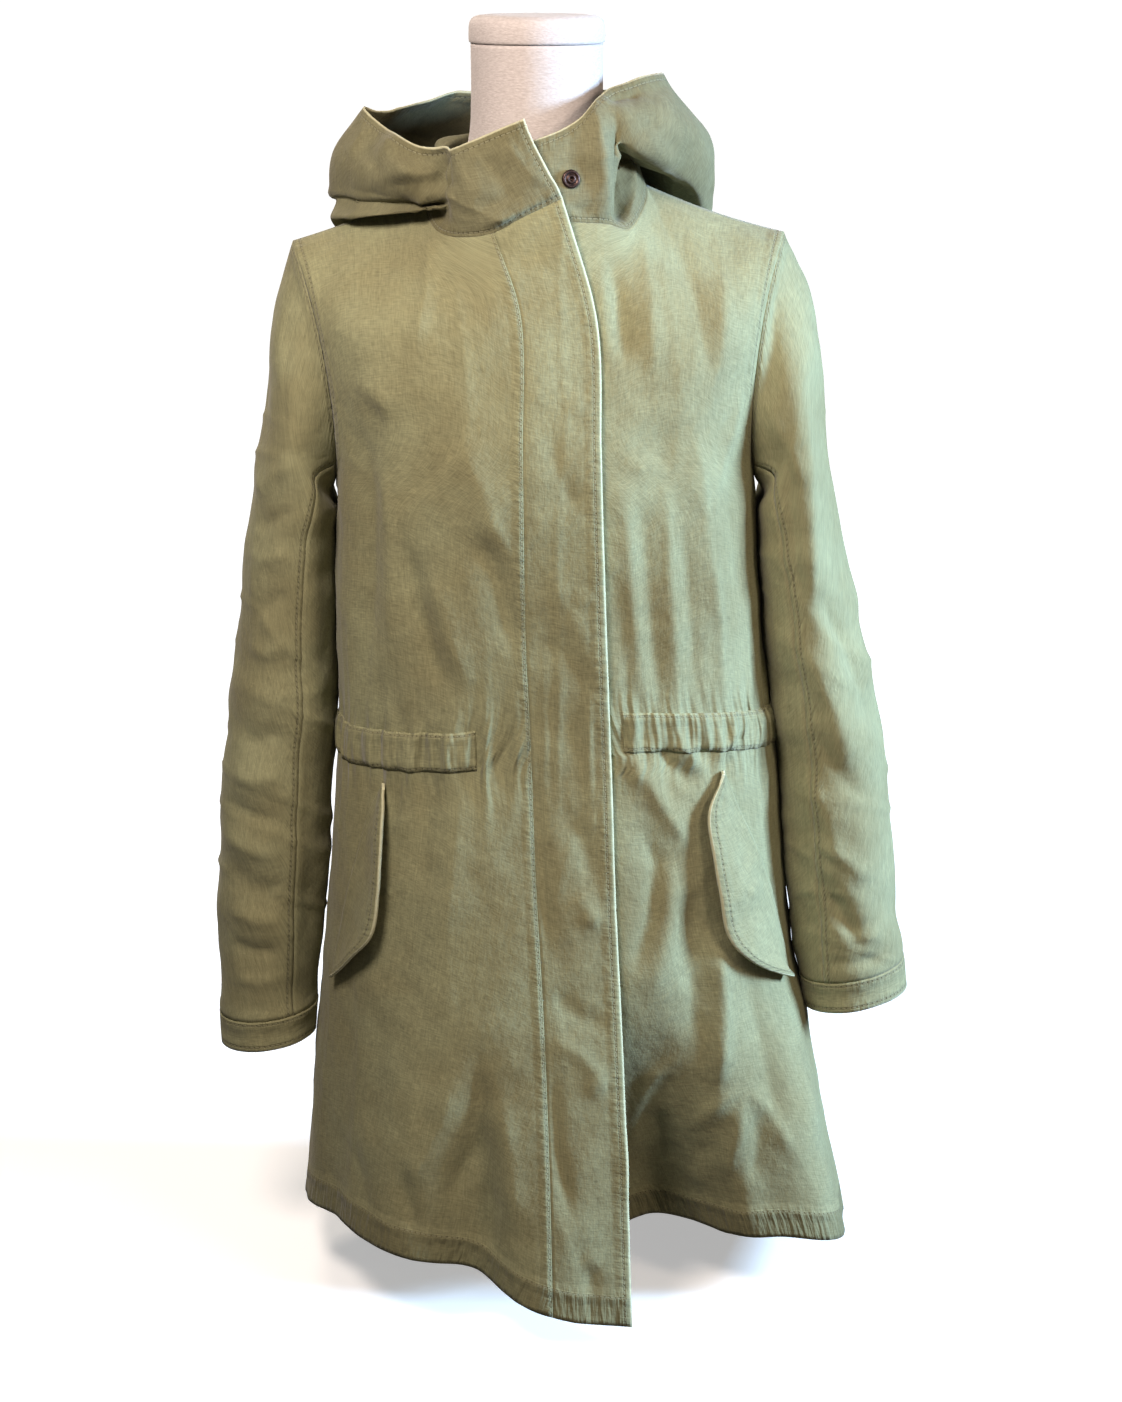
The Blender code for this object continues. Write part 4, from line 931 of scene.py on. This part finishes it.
SKIRT_FOLDS = seen(FRONT_Y, [
    (9, 5, 618, 750, 650, 792, 676, 835, 690, 862), (6, -3, 655, 745, 672, 775, 704, 800),
    (5, 2.6, 676, 742, 690, 765, 708, 788), (5, -2.2, 694, 740, 702, 762, 714, 782),
    (5, 2.4, 735, 745, 730, 762, 722, 780), (6, -2.4, 752, 748, 742, 766, 728, 784),
    (8, -4, 638, 820, 656, 870, 652, 920, 630, 985), (12, 3, 672, 860, 668, 930, 650, 1010),
    (13, -4.5, 694, 880, 696, 980, 700, 1080), (9, 6, 716, 930, 724, 1010, 722, 1110),
    (14, -4.5, 748, 970, 768, 1060, 785, 1160), (10, 4, 800, 1000, 812, 1080, 826, 1180),
    (6, 2.2, 745, 1095, 712, 1120, 690, 1150), (6, 2.6, 745, 1095, 740, 1150, 722, 1205),
    (6, 2.2, 745, 1095, 775, 1130, 800, 1180), (7, -2.2, 730, 1120, 715, 1160, 690, 1195),
    (7, -2.4, 760, 1120, 760, 1160, 755, 1200),
    (8, 3.5, 690, 1058, 655, 1086, 637, 1125, 630, 1190),
    (8, -2.5, 655, 1120, 665, 1160, 668, 1200), (6, 2, 700, 1165, 703, 1190, 700, 1215),
    (6, -2.6, 398, 770, 396, 800, 392, 840), (7, 2.6, 415, 755, 406, 800, 398, 860),
    (10, -2.4, 440, 765, 425, 830, 415, 900), (13, 2.6, 470, 770, 455, 850, 440, 960),
    (8, -5, 478, 1040, 480, 1095, 474, 1140, 445, 1205), (8, -4, 480, 1100, 486, 1170, 492, 1250),
    (10, 3.5, 500, 1080, 510, 1140, 516, 1220), (13, 3, 455, 1060, 440, 1120, 400, 1190),
    (7, -2.5, 400, 1150, 410, 1190, 424, 1240), (8, -2, 350, 1150, 362, 1190, 370, 1230),
    (14, -2.5, 375, 1000, 372, 1080, 360, 1160), (6, -3, 535, 770, 541, 860, 548, 960),
    (6, -3, 552, 1050, 556, 1130, 575, 1205), (9, -2, 548, 985, 580, 1010, 612, 1020),
    (8, 2.2, 545, 1025, 580, 1045, 614, 1080), (9, 1.8, 575, 890, 592, 915, 606, 925),
    (10, -1.8, 560, 800, 585, 850, 600, 900), (9, -2.2, 570, 1210, 590, 1250, 596, 1300),
])
BACK_FOLDS = lines_of([
    (13, 4.5, -120, 860, -100, 740, -90, 600), (12, -3.5, -70, 800, -60, 660, -60, 550),
    (12, 3, -20, 760, -20, 660, -10, 550), (13, -3.5, 50, 820, 50, 680, 40, 550),
    (14, 4.5, 120, 840, 100, 720, 90, 580), (10, -3.5, -150, 800, -140, 700, -130, 600),
    (10, -3, 150, 780, 140, 680, 130, 580), (14, 4, -100, 460, -110, 340, -130, 200),
    (13, -4, 20, 470, 20, 360, 30, 240), (14, 4, 90, 460, 110, 330, 130, 180),
    (12, -3.5, -40, 450, -50, 340, -60, 220), (12, 3.5, 60, 300, 70, 200, 80, 100),
], lambda places: places / 1000)
print("folds on the front:", len(CHEST_FOLDS) + len(SKIRT_FOLDS))

# %% Ripples of the body
def waist_z(points):
    """Height of the casing's middle, by the way round from the front."""
    turn = np.degrees(np.arctan2(points[..., 1], points[..., 0]))
    turn = np.where(turn < -90, turn + 360, turn)
    return spline(WAIST, turn)["z"]


def body_relief(points):
    """How far the cloth of the body stands out from its smooth form."""
    ripple = noise(points * [15, 15, 3.5], 1) * 0.0026 + noise(points * [34, 34, 9], 2) * 0.0013
    crumple = noise(points * 48, 3) * 0.0008 + creases(points * [24, 24, 9], 6) * 0.0008
    below = waist_z(points) - points[..., 2]
    reach = np.where(below > 0, 0.050, 0.042)
    drawn_in = np.exp(-((np.abs(below) / reach) ** 1.5))
    gather = (0.6 - 2 * np.abs(noise(points * [85, 85, 4], 4))) * 0.0030 * drawn_in
    hem = np.exp(-(((points[..., 2] - 0.06) / 0.03) ** 2)) * noise(points * [90, 90, 12], 5) * 0.0007
    front = points[..., 1] < 0
    flat = points[..., [0, 2]]
    folds = np.where(front, drawn(flat, CHEST_FOLDS + SKIRT_FOLDS), drawn(flat, BACK_FOLDS))
    right_side = smooth((0.02 - points[..., 0]) / 0.06)
    more = np.where(points[..., 2] < 0.5, 1.35, 0.85 + 0.65 * right_side)
    return ripple + crumple + gather + hem + folds * np.where(front, more, 1)


def share_normals(a, a_place, b, b_place):
    """Two grids that are sewn together get the same normals along the seam."""
    both = unit(a[a_place] + b[b_place])
    a[a_place], b[b_place] = both, both


print("a ripple:", body_relief(np.array([[0.1, -0.1, 0.6]])).round(4), "m")

# %% Body grids with their ripples
FIRST, LAST, BELOW_ARM = (slice(None), 0), (slice(None), -1), slice(0, BODY_ROWS + 1)
SEWN = 0.03     # how far from a seam the folds fade out
grids = {
    "over": front_grid("over"), "fly": placket_grid(),
    "under": front_grid("under"), "back": back_grid(),
}
normals = {key: grid_normals(p, flip=key == "under") for key, p in grids.items()}
share_normals(normals["over"], LAST, normals["fly"], FIRST)
share_normals(normals["over"], (BELOW_ARM, 0), normals["back"], (BELOW_ARM, -1))
share_normals(normals["under"], (BELOW_ARM, 0), normals["back"], (BELOW_ARM, 0))
for key, p in grids.items():
    across, from_right, along, from_top = lengths(p)
    sewn = smooth(from_top / SEWN)
    yoke_part = (np.arange(len(p)) > BODY_ROWS)[:, None]
    if key != "fly":
        sewn = sewn * np.where(yoke_part, smooth(across / SEWN), 1)
    if key == "back":
        sewn = sewn * np.where(yoke_part, smooth(from_right / SEWN), 1)
    relief = body_relief(p) * sewn
    if key == "fly":
        relief = relief + studs_below(p, HIDDEN_SNAPS)
    grids[key] = p + normals[key] * relief[..., None]
print("body grids:", {key: p.shape[:2] for key, p in grids.items()})

# %% Body pieces
WALL, FLY_WALL = 0.0014, 0.0024
for name, key, wall, material, below in (
    ("front_right", "over", WALL, canvas_over, "form_torso"),
    ("front_left", "under", WALL, canvas_under, "form_torso"),
    ("placket_right", "fly", FLY_WALL, canvas_fly, "front_right"),
    ("back", "back", WALL, canvas_back, "form_torso"),
):
    from_waist = waist_z(grids[key]) - grids[key][..., 2]
    cloth(name, grids[key], wall, material, flip=key == "under", waist=from_waist)

# %% [markdown]
# ## Sleeves and cuffs
# Each sleeve is cut in two parts, sewn along the front and the back of the arm. An
# empty sleeve flattens and breaks into soft cross folds at the elbow and above the
# cuff. The cuffs are plain bands, folded double.

# %% Folds of the sleeves
SLEEVE_FOLDS = {
    "right": seen(ARM_Y, [
        (6, 3, 300, 455, 275, 470, 255, 500), (5, -3, 298, 500, 275, 515, 252, 530),
        (5, 2.5, 295, 545, 270, 555, 250, 560), (6, -2.5, 292, 585, 270, 600, 250, 620),
        (6, 2.5, 290, 640, 265, 650, 245, 645), (8, -3, 290, 720, 262, 735, 240, 745),
        (8, 3.5, 288, 770, 260, 775, 228, 765), (8, -4, 288, 815, 255, 810, 222, 800),
        (8, 4, 288, 850, 250, 842, 218, 830), (7, -3.5, 288, 885, 255, 880, 220, 868),
        (7, 3.5, 290, 915, 255, 912, 222, 905), (6, -3, 290, 945, 260, 945, 225, 940),
        (6, 3, 290, 970, 260, 975, 228, 972), (9, 3.5, 262, 400, 257, 520, 252, 640),
        (10, -4, 312, 700, 312, 840, 310, 980), (9, -2.5, 290, 300, 283, 380, 285, 450),
    ]),
    "left": seen(ARM_Y, [
        (8, 5, 800, 380, 808, 500, 812, 620), (8, -3.5, 783, 410, 790, 520, 798, 620),
        (8, -5.5, 815, 580, 840, 630, 862, 690, 884, 750), (10, 4.5, 803, 640, 830, 700, 852, 770),
        (8, 3.5, 848, 550, 862, 640, 874, 710), (8, -3, 808, 720, 835, 765, 868, 800),
        (7, 3.5, 806, 830, 840, 850, 872, 880), (8, -5.5, 810, 868, 835, 900, 864, 945),
        (7, 4, 815, 915, 845, 930, 888, 928), (6, -3, 815, 955, 850, 955, 892, 948),
        (9, -3.5, 775, 270, 772, 340, 765, 410), (9, 3.5, 800, 250, 812, 330, 822, 430),
        (6, 3, 764, 400, 785, 440, 802, 480), (7, 3, 800, 760, 822, 800, 840, 860),
    ]),
}
ARM = 0.66      # metres down a sleeve


def sleeve_relief(side, points, normal, share):
    """Folds of a sleeve at points and shares of the way down."""
    seed = 10 if side == "right" else 20
    long = noise(points * [18, 18, 6], seed) * 0.0026
    slant = points @ np.array([[1.0, 0.0, 0.35], [0.0, 1.0, 0.2], [0.6, 0.3, 1.0]])
    cross = noise(slant * [14, 14, 30], seed + 1) * 0.0026 * smooth((share - 0.2) / 0.3)
    small = noise(points * [44, 44, 56], seed + 2) * 0.0009
    sharp = creases(slant * [11, 11, 32], seed + 3) * 0.0018 * smooth((share - 0.1) / 0.3)
    facing = smooth(0.5 - 1.6 * normal[..., 1])
    folds = drawn(points[..., [0, 2]], SLEEVE_FOLDS[side]) * facing
    ends = smooth(share * ARM / 0.03) * smooth((1 - share) * ARM / 0.012)
    inward = normal[..., 0] * (1 if side == "right" else -1)
    upper_arm = smooth((share - 0.15) / 0.1) * smooth((0.75 - share) / 0.15)
    pressed = 0.0032 * smooth((inward - 0.5) / 0.4) * upper_arm    # against the body
    return (long + cross + small + sharp + folds) * ends + pressed


print("folds on the sleeves:", sum(map(len, SLEEVE_FOLDS.values())))

# %% Sleeves
for side in ("right", "left"):
    flip = side == "right"
    (top, top_share), (under, under_share) = (sleeve_grid(side, part) for part in ("top", "under"))
    top_normal, under_normal = grid_normals(top, flip), grid_normals(under, flip)
    share_normals(top_normal, FIRST, under_normal, LAST)
    share_normals(top_normal, LAST, under_normal, FIRST)
    for part, points, normal, share, material in (
        ("top", top, top_normal, top_share, canvas_sleeve_top),
        ("under", under, under_normal, under_share, canvas_sleeve_under),
    ):
        points = points + normal * sleeve_relief(side, points, normal, share)[..., None]
        cloth(f"sleeve_{side}_{part}", points, WALL, material, flip=flip)

# %% Cuffs
CUFF_TALL, CUFF_WALL, CUFF_ROWS, CUFF_COLUMNS = 0.027, 0.0022, 12 // CELL, 120 // CELL
for side in ("right", "left"):
    angle = np.linspace(0, 360, CUFF_COLUMNS, endpoint=False)
    end = sleeve_point(side, angle, 1.0)
    way = unit(end - sleeve_point(side, angle, 0.95))
    down = np.linspace(0, 1, CUFF_ROWS + 1)[:, None, None]
    points = end + way * CUFF_TALL * down
    out = grid_normals(points, flip=side == "right", ring=True)
    wave = noise(points * 45, 30) * 0.0009 * smooth(down[..., 0] * 3)
    cloth(f"cuff_{side}", points + out * (0.0006 + wave[..., None]), CUFF_WALL, canvas_cuff,
          flip=side == "right", ring=True)

# %% [markdown]
# ## Hood
# The hood is cut in two halves with its stand in one piece. Lying down, it stands
# up at the neck, falls outwards over the shoulders, and turns up again to its free
# edge. The soft bowl it forms is open behind the neck.

# %% Folds of the hood
HOOD_FOLDS = {
    "right": seen(-0.09, [
        (10, -9, 431, 140, 441, 172, 443, 200), (6, -4, 385, 160, 410, 162, 436, 154),
        (16, 7, 380, 140, 400, 170, 405, 190), (16, 3.5, 470, 145, 480, 175, 484, 205),
        (6, 2.5, 398, 176, 420, 178, 440, 172), (8, -3, 350, 150, 368, 165, 380, 185),
        (7, 3, 340, 170, 352, 150, 364, 130), (8, 2.5, 455, 160, 470, 185, 480, 215),
        (7, -2.2, 480, 150, 500, 175, 515, 205), (6, 2, 505, 140, 525, 165, 545, 190),
        (7, 1.8, 450, 215, 480, 222, 520, 215), (5, -2, 345, 198, 380, 203, 420, 206),
    ]),
    "left": seen(-0.07, [
        (15, 9, 590, 90, 600, 130, 605, 165, 606, 200, 600, 235),
        (7, -14, 614, 104, 619, 150, 622, 180, 620, 236), (10, 3, 640, 130, 655, 150, 680, 175),
        (4, 3, 636, 165, 634, 195, 628, 228), (4, -4, 604, 104, 622, 100, 645, 98),
        (9, -2.5, 640, 112, 665, 140, 684, 166), (9, 2.5, 655, 95, 676, 125, 694, 160),
        (7, 2, 575, 145, 585, 165, 590, 195), (6, -1.8, 556, 185, 575, 205, 596, 214),
    ]),
}
print("folds on the hood:", sum(map(len, HOOD_FOLDS.values())))

# %% Hood
STUD_AT = np.mean(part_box("snap_stud"), axis=0)    # the cloth lies flat round the snap
hood = {side: hood_grid(side) for side in ("right", "left")}
hood_normals = {side: grid_normals(points, flip=side == "right") for side, points in hood.items()}
share_normals(hood_normals["right"], LAST, hood_normals["left"], LAST)
for side, points in hood.items():
    normal, share = hood_normals[side], np.linspace(0, 1, len(points))[:, None]
    ripple = noise(points * [20, 20, 16], 41) * 0.0030 + noise(points * 42, 42) * 0.0016
    ripple = ripple + creases(points * [16, 16, 22], 43) * 0.0024
    facing = smooth(0.2 - 2.0 * normal[..., 1])
    relief = (ripple + drawn(points[..., [0, 2]], HOOD_FOLDS[side]) * facing) * smooth(share / 0.12)
    from_stud = np.hypot(points[..., 0] - STUD_AT[0], points[..., 2] - STUD_AT[2])
    relief = relief * (smooth((from_stud - 0.010) / 0.014) if side == "left" else 1)
    points = points + normal * relief[..., None]
    cloth(f"hood_{side}", points, WALL, canvas_hood_shaded, flip=side == "right", held="folded")

# %% [markdown]
# ## Waist casing
# A narrow strip sewn to the body holds the cord that draws the waist in. Between
# its two rows of stitches the cloth bunches into small upright ridges. Its own
# rippled shape comes from the body's, so that the strip lies close on it everywhere.

# %% Waist casing
CASING_HALF, CASING_WALL, CASING_COLUMNS, CASING_ROWS = 0.0165, 0.0009, 620 // CELL, 12
LEFT_END, RIGHT_END = (0.068, 0.52), (-0.0495, 0.508)    # x and z of its two ends
turn = np.linspace(float(turn_at_x(*LEFT_END)) - 360, float(turn_at_x(*RIGHT_END)), CASING_COLUMNS)
up = np.linspace(-1, 1, CASING_ROWS + 1)[:, None]
parts = []
for piece, low, high in (("under", -99, 0), ("back", 0, 180), ("over", 180, 360)):
    part = turn[(turn >= low) & (turn < high)]
    z = spline(WAIST, part)["z"] + CASING_HALF * up
    parts.append(body_point(piece, np.mod(part, 360), z))
points = np.concatenate(parts, axis=1)
bunch = noise(points * [125, 125, 12], 50)
from_end = np.minimum(*lengths(points)[:2])
inside = (1 - np.abs(up) ** 4) * smooth(from_end / 0.006)
lift = 0.0005 + body_relief(points) + (0.0016 * bunch + 0.0022) * inside
cloth("waist_casing", points + grid_normals(points) * lift[..., None], CASING_WALL, canvas_casing,
      held="gathered", waist=0.0)

# %% [markdown]
# ## Pocket flaps
# Each flap is two plies of canvas, turned out and stitched. It is sewn in along its
# slanted edge and hangs free along the other, so it stands off most there. A table
# gives both edges row by row, and how far the loose edge stands off the front.

# %% Points over a front
def on_body(piece, x, z, out, follow=1.0):
    """Points over a panel at x and z, a distance out from its rippled cloth."""
    turn = turn_at_x(x, z)
    p = body_point(piece, turn, z)
    across = body_point(piece, turn + 0.5, z) - body_point(piece, turn - 0.5, z)
    up = body_point(piece, turn, z + 0.002) - body_point(piece, turn, z - 0.002)
    n = unit(np.cross(across, up))
    return p + n * np.asarray(out + body_relief(p) * follow)[..., None]


print("a point over the right front:", on_body("over", -0.1, 0.4, 0.01).round(3))

# %% Pocket flaps
FLAP_NAMES = "row sewn_x sewn_z loose_x loose_z off"
FLAPS = {
    "left": table(FLAP_NAMES, [
        (0, 150, 477, 148, 473, 2), (1, 158, 456, 134.5, 446, 7), (2, 172, 423, 137, 411, 11),
        (3, 186, 388, 142, 376, 13), (4, 196, 352, 149, 342, 13), (5, 203.5, 318, 166, 318, 12),
        (6, 209, 288, 204, 285, 6),
    ]),
    "right": table(FLAP_NAMES, [
        (0, 125, 466, 122.5, 463, 2), (1, 134, 446, 119, 447, 8), (2, 144, 412, 119, 412, 12),
        (3, 152, 378, 121, 378, 14), (4, 159, 345, 126.5, 342, 14), (5, 165, 316, 144, 317, 12),
        (6, 170, 290, 168, 287, 6),
    ]),
}
FLAP_WALL = 0.0026
for side, piece, mirror in (("left", "under", 1), ("right", "over", -1)):
    row = spline(FLAPS[side], np.linspace(0, 6, 70 // CELL)[:, None])
    across = np.linspace(0, 1, 24 // CELL + 1)
    x = mirror * (row["sewn_x"] + (row["loose_x"] - row["sewn_x"]) * across)
    z = row["sewn_z"] + (row["loose_z"] - row["sewn_z"]) * across
    off = 0.0010 + row["off"] * smooth(across * 0.9)
    snap = studs_below(np.stack([x, x, z], -1), FLAP_SNAP, rise=0.0018)
    crumple = noise(np.stack([x * 60, z * 40, x * 0], -1), 60) * 0.0014 * smooth(across * 2)
    follow = 1 - 0.6 * smooth(across * 1.5)    # the loose edge doesn't take the body's ripples
    points = on_body(piece, x, z, off + FLAP_WALL + snap + crumple, follow)
    cloth(f"pocket_flap_{side}", points, FLAP_WALL, canvas_flap, flip=side == "right",
          held="folded")

# %% [markdown]
# ## The snap
# One ring-shaped snap shows on the stand of the hood. Such a stud is stamped brass,
# chemically darkened, so it is nearly all metal to the eye, brown-black in the hollows
# and paler on the rim. It is round, so a profile turned about its axis gives all of it.

# %% A turned piece, and brass
PATINA_MM = 1.11


def turned(name, middle, axis, side, profile, steps, material):
    """A turned piece: profile is (out along the axis, radius)."""
    up = np.cross(axis, side)
    around = np.linspace(0, 2 * pi, steps, endpoint=False)
    rings = [
        middle + axis * out + (side * np.cos(around)[:, None] + up * np.sin(around)[:, None]) * radius
        for out, radius in profile
    ]
    points = np.concatenate(rings)
    faces = [list(range(steps))[::-1], list(range(len(points) - steps, len(points)))]
    for i in range(len(profile) - 1):
        for j in range(steps):
            k = (j + 1) % steps
            faces.append([i * steps + j, i * steps + k, (i + 1) * steps + k, (i + 1) * steps + j])
    made = placed(name, points.tolist(), faces, material)
    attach(made, "root")
    return made


brass, tree = new_material("darkened stamped brass")
place = add(tree, "TexCoord").outputs["Object"]
spots = add(tree, "TexNoise", {"Vector": place, "Scale": 1000 / PATINA_MM, "Detail": 4.0})
tone = add(tree, "Mix", {0: spots, 6: colour("#2B2022"), 7: colour("#5C4A44")}, data_type="RGBA")
bump = add(tree, "Bump", {"Height": spots, "Strength": 0.4, "Distance": 0.0002})
surfaced(tree, {"Base Color": tone, "Normal": bump, "Metallic": 0.9, "Roughness": 0.42})
print("patina spots every", PATINA_MM, "mm")

# %% Stud
OUTWARD = np.array([STUD_AT[0], STUD_AT[1], 0.012])    # it leans up a little
axis = unit(OUTWARD)
side_way = unit(np.cross([0, 0, 1.0], axis))
PROFILE = [    # out along the axis, radius
    (-0.0022, 0.0060), (-0.0016, 0.0070), (-0.0004, 0.0073), (0.0006, 0.0071), (0.0013, 0.0064),
    (0.0015, 0.0056), (0.0012, 0.0049), (0.0004, 0.0044), (0.0004, 0.0040), (0.0012, 0.0035),
    (0.0017, 0.0028), (0.0017, 0.0021), (0.0010, 0.0016), (-0.0004, 0.0014), (-0.0004, 0.0002),
]
stud = turned("snap_ring", STUD_AT, axis, side_way, PROFILE, 48, brass)
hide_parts("snap_stud")
print("stud at", STUD_AT.round(3))

# %% [markdown]
# ## The dress form
# The form is a firm shell under a tight off-white cover of slubby woven cotton, with
# a separate cap on its neck. Only the neck shows, so the weave matters there: short
# bright slubs lying across, on a matt ground with a faint sheen. Rings from a table
# make the shell, finer than the solid's, and the cap is turned like the snap.

# %% Cover material
SLUB_MM, SLUB_TALL_MM, PATCH_MM = 3.33, 1.11, 16.7    # slubs are 0.5 mm tall: drawn coarser
linen, tree = new_material("off-white slub cotton cover")
place = add(tree, "TexCoord").outputs["Object"]
size = (1000 / SLUB_MM, 1000 / SLUB_MM, 1000 / SLUB_TALL_MM)
slub = add(tree, "TexNoise", {
    "Vector": add(tree, "Mapping", {"Vector": place, "Scale": size}), "Scale": 1.0, "Detail": 3.0})
patch = add(tree, "TexNoise", {"Vector": place, "Scale": 1000 / PATCH_MM, "Detail": 3.0})
tone = add(tree, "Mix", {0: slub, 6: colour("#A69D99"), 7: colour("#DAD3D0")}, data_type="RGBA")
both = add(tree, "Math", {0: slub, 1: patch}, operation="ADD")
bump = add(tree, "Bump", {"Height": both, "Strength": 0.5, "Distance": 0.0006})
surfaced(tree, {"Base Color": tone, "Normal": bump, "Roughness": 0.85, "Sheen Weight": 0.15})
print("slubs", SLUB_MM, "mm long")

# %% Form
FORM = table("z wide deep mid_x mid_y square", [
    (0, 78, 70, -6, 12, 2), (10, 83, 75, -6, 12, 2), (100, 98, 84, 0, 10, 2.1),
    (180, 120, 92, 4, 7, 2.2), (260, 141, 99, 7, 4, 2.2), (340, 150, 102, 8, 2, 2.2),
    (420, 142, 96, 7, 0, 2.2), (500, 126, 86, 6, -4, 2.2), (580, 134, 94, 5, -7, 2.2),
    (680, 150, 108, 3, -10, 2.2), (740, 156, 106, 1, -7, 2.2), (800, 160, 92, 0, -4, 2.1),
    (850, 170, 68, 0, -2, 2), (878, 177, 44, 0, 0, 2), (893, 168, 30, 0, -1, 2),
    (905, 140, 31, 0, -3, 2), (919, 107, 36, 0, -4, 2), (934, 79, 43, 0, -4, 2),
    (952, 62, 51, 0, 0, 2), (975, 54.5, 52.5, 0, 0, 2), (1005, 52.5, 52.5, 0, 0, 2),
    (1047.5, 52.5, 52.5, 0, 0, 2),
])
FORM_SIDES, SHOULDER_Z, NECK_TOP_Z = 96, 0.84, 1.0475
low_z, high_z = np.linspace(0, SHOULDER_Z, 60)[:-1], np.linspace(SHOULDER_Z, NECK_TOP_Z, 70)
z = np.concatenate([low_z, high_z])[:, None]
ring = spline(FORM, z)
around = np.linspace(0, 2 * pi, FORM_SIDES, endpoint=False)
e = 2 / ring["square"]
x = ring["mid_x"] + power(np.cos(around), e) * ring["wide"]
y = ring["mid_y"] + power(np.sin(around), e) * ring["deep"]
points = np.stack([x, y, z + 0 * around], -1)
ends = [list(range(FORM_SIDES))[::-1], list(range(points.size // 3 - FORM_SIDES, points.size // 3))]
faces = quads(len(z), FORM_SIDES, ring=True).tolist() + ends
form = placed("form_cover", points.reshape(-1, 3).tolist(), faces, linen)
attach(form, "root")
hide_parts("form_torso")
print("form", len(points), "rings")

# %% Cap of the neck
CAP = [    # height, radius
    (1.0478, 0.0500), (1.0482, 0.0528), (1.0490, 0.0537), (1.0504, 0.0540), (1.0540, 0.0541),
    (1.0600, 0.0539), (1.0635, 0.0534), (1.0660, 0.0522), (1.0678, 0.0502), (1.0689, 0.0470),
    (1.0695, 0.0420), (1.0696, 0.0300),
]
UP, SIDEWAYS = np.array([0, 0, 1.0]), np.array([1.0, 0, 0])
cap = turned("form_cap", np.zeros(3), UP, SIDEWAYS, CAP, FORM_SIDES, linen)
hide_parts("form_neck_cap")
print("form height", round(CAP[-1][0], 3))

# %% [markdown]
# ## White ground
# The photograph has a white ground with a soft shadow below the hem. A wide disc of
# white paper takes the shadow, and a tall white drum closes the view. Both glow, so
# that they come out white, but neither lights the jacket: that is left to the lamps.

# %% Stage
FAR, RIM_POINTS = 40.0, 64


def stage_piece(name, vertices, faces, material):
    """A part of the studio: it is seen, but it doesn't light the jacket."""
    made = placed(name, vertices, faces, material, smooth_shading=False)
    made.visible_diffuse = made.visible_glossy = False
    return made


paper, tree = new_material("matt white paper")
place = add(tree, "TexCoord").outputs["Object"]
far = add(tree, "VectorMath", {0: place}, operation="LENGTH")
glow = add(tree, "MapRange", {0: far, 1: 0.2, 2: 3.2, 3: 0.42, 4: 1.0}, interpolation_type="SMOOTHSTEP")
grain = add(tree, "TexNoise", {"Vector": place, "Scale": 2.0, "Detail": 2.0})
tone = add(tree, "Mix", {0: grain, 6: colour("#F0F0EF"), 7: colour("#F6F6F6")}, data_type="RGBA")
WHITE = (1, 1, 1, 1)
surfaced(tree, {"Base Color": tone, "Roughness": 0.95, "Emission Color": WHITE, "Emission Strength": glow})
around = np.linspace(0, 2 * pi, RIM_POINTS, endpoint=False)
rim = [(FAR * np.cos(t), FAR * np.sin(t), 0.0) for t in around]
stage_piece("floor", rim, [list(range(RIM_POINTS))], paper)

sky, tree = new_material("plain white backdrop")
surfaced(tree, {"Base Color": colour("#F4F4F4"), "Emission Color": WHITE, "Emission Strength": 1.0})
walls = [(x, y, z) for z in (-0.5, 30.0) for x, y, _ in rim]
wall_faces = quads(2, RIM_POINTS, ring=True).tolist() + [list(range(RIM_POINTS, 2 * RIM_POINTS))]
stage_piece("backdrop", walls, wall_faces, sky).visible_shadow = False
print("stage", 2 * FAR, "m wide")

# %% [markdown]
# ## Light
# The photograph has cool daylight grazing from a window on the right and a dim warm
# room elsewhere. A strong blue-white lamp beside the jacket draws every fold as a
# pale and a dark side. Three weak warm ones fill the shadows; one of them is behind,
# for when the jacket is turned. A faint warm world keeps the hollows open.

# %% Lamps
def lamp(name, at, aim, size, watts, code):
    """A square soft lamp that looks at a point."""
    data = bpy.data.lights.new(name, "AREA")
    data.size, data.energy, data.color = size, watts, colour(code)[:3]
    made = bpy.data.objects.new(name, data)
    made.location = at
    way = np.array(aim) - np.array(at)
    made.rotation_euler = (np.arctan2(np.hypot(way[0], way[1]), -way[2]), 0, np.arctan2(-way[0], way[1]))
    bpy.context.scene.collection.objects.link(made)
    return made


lamp("window_right", (2.1, -0.38, 1.15), (0.05, 0, 0.6), 0.5, 128, "#BADCFF")
lamp("room_right", (1.5, -1.5, 1.7), (0.05, 0, 0.8), 0.5, 18, "#FFE8D4")
lamp("room_left", (-0.45, -0.95, 1.65), (-0.1, 0, 0.8), 0.4, 21, "#FFEEE2")
lamp("room_behind", (-0.7, 1.4, 1.7), (0, 0, 0.75), 0.6, 16, "#FFF0E0")
world = bpy.data.worlds.new("room")
world.use_nodes = True
world.node_tree.nodes["Background"].inputs[0].default_value = colour("#FFF4E8")
world.node_tree.nodes["Background"].inputs[1].default_value = 0.10
bpy.context.scene.world = world
bpy.context.scene.view_settings.view_transform = "Standard"
print("lamps:", len(bpy.data.lights))
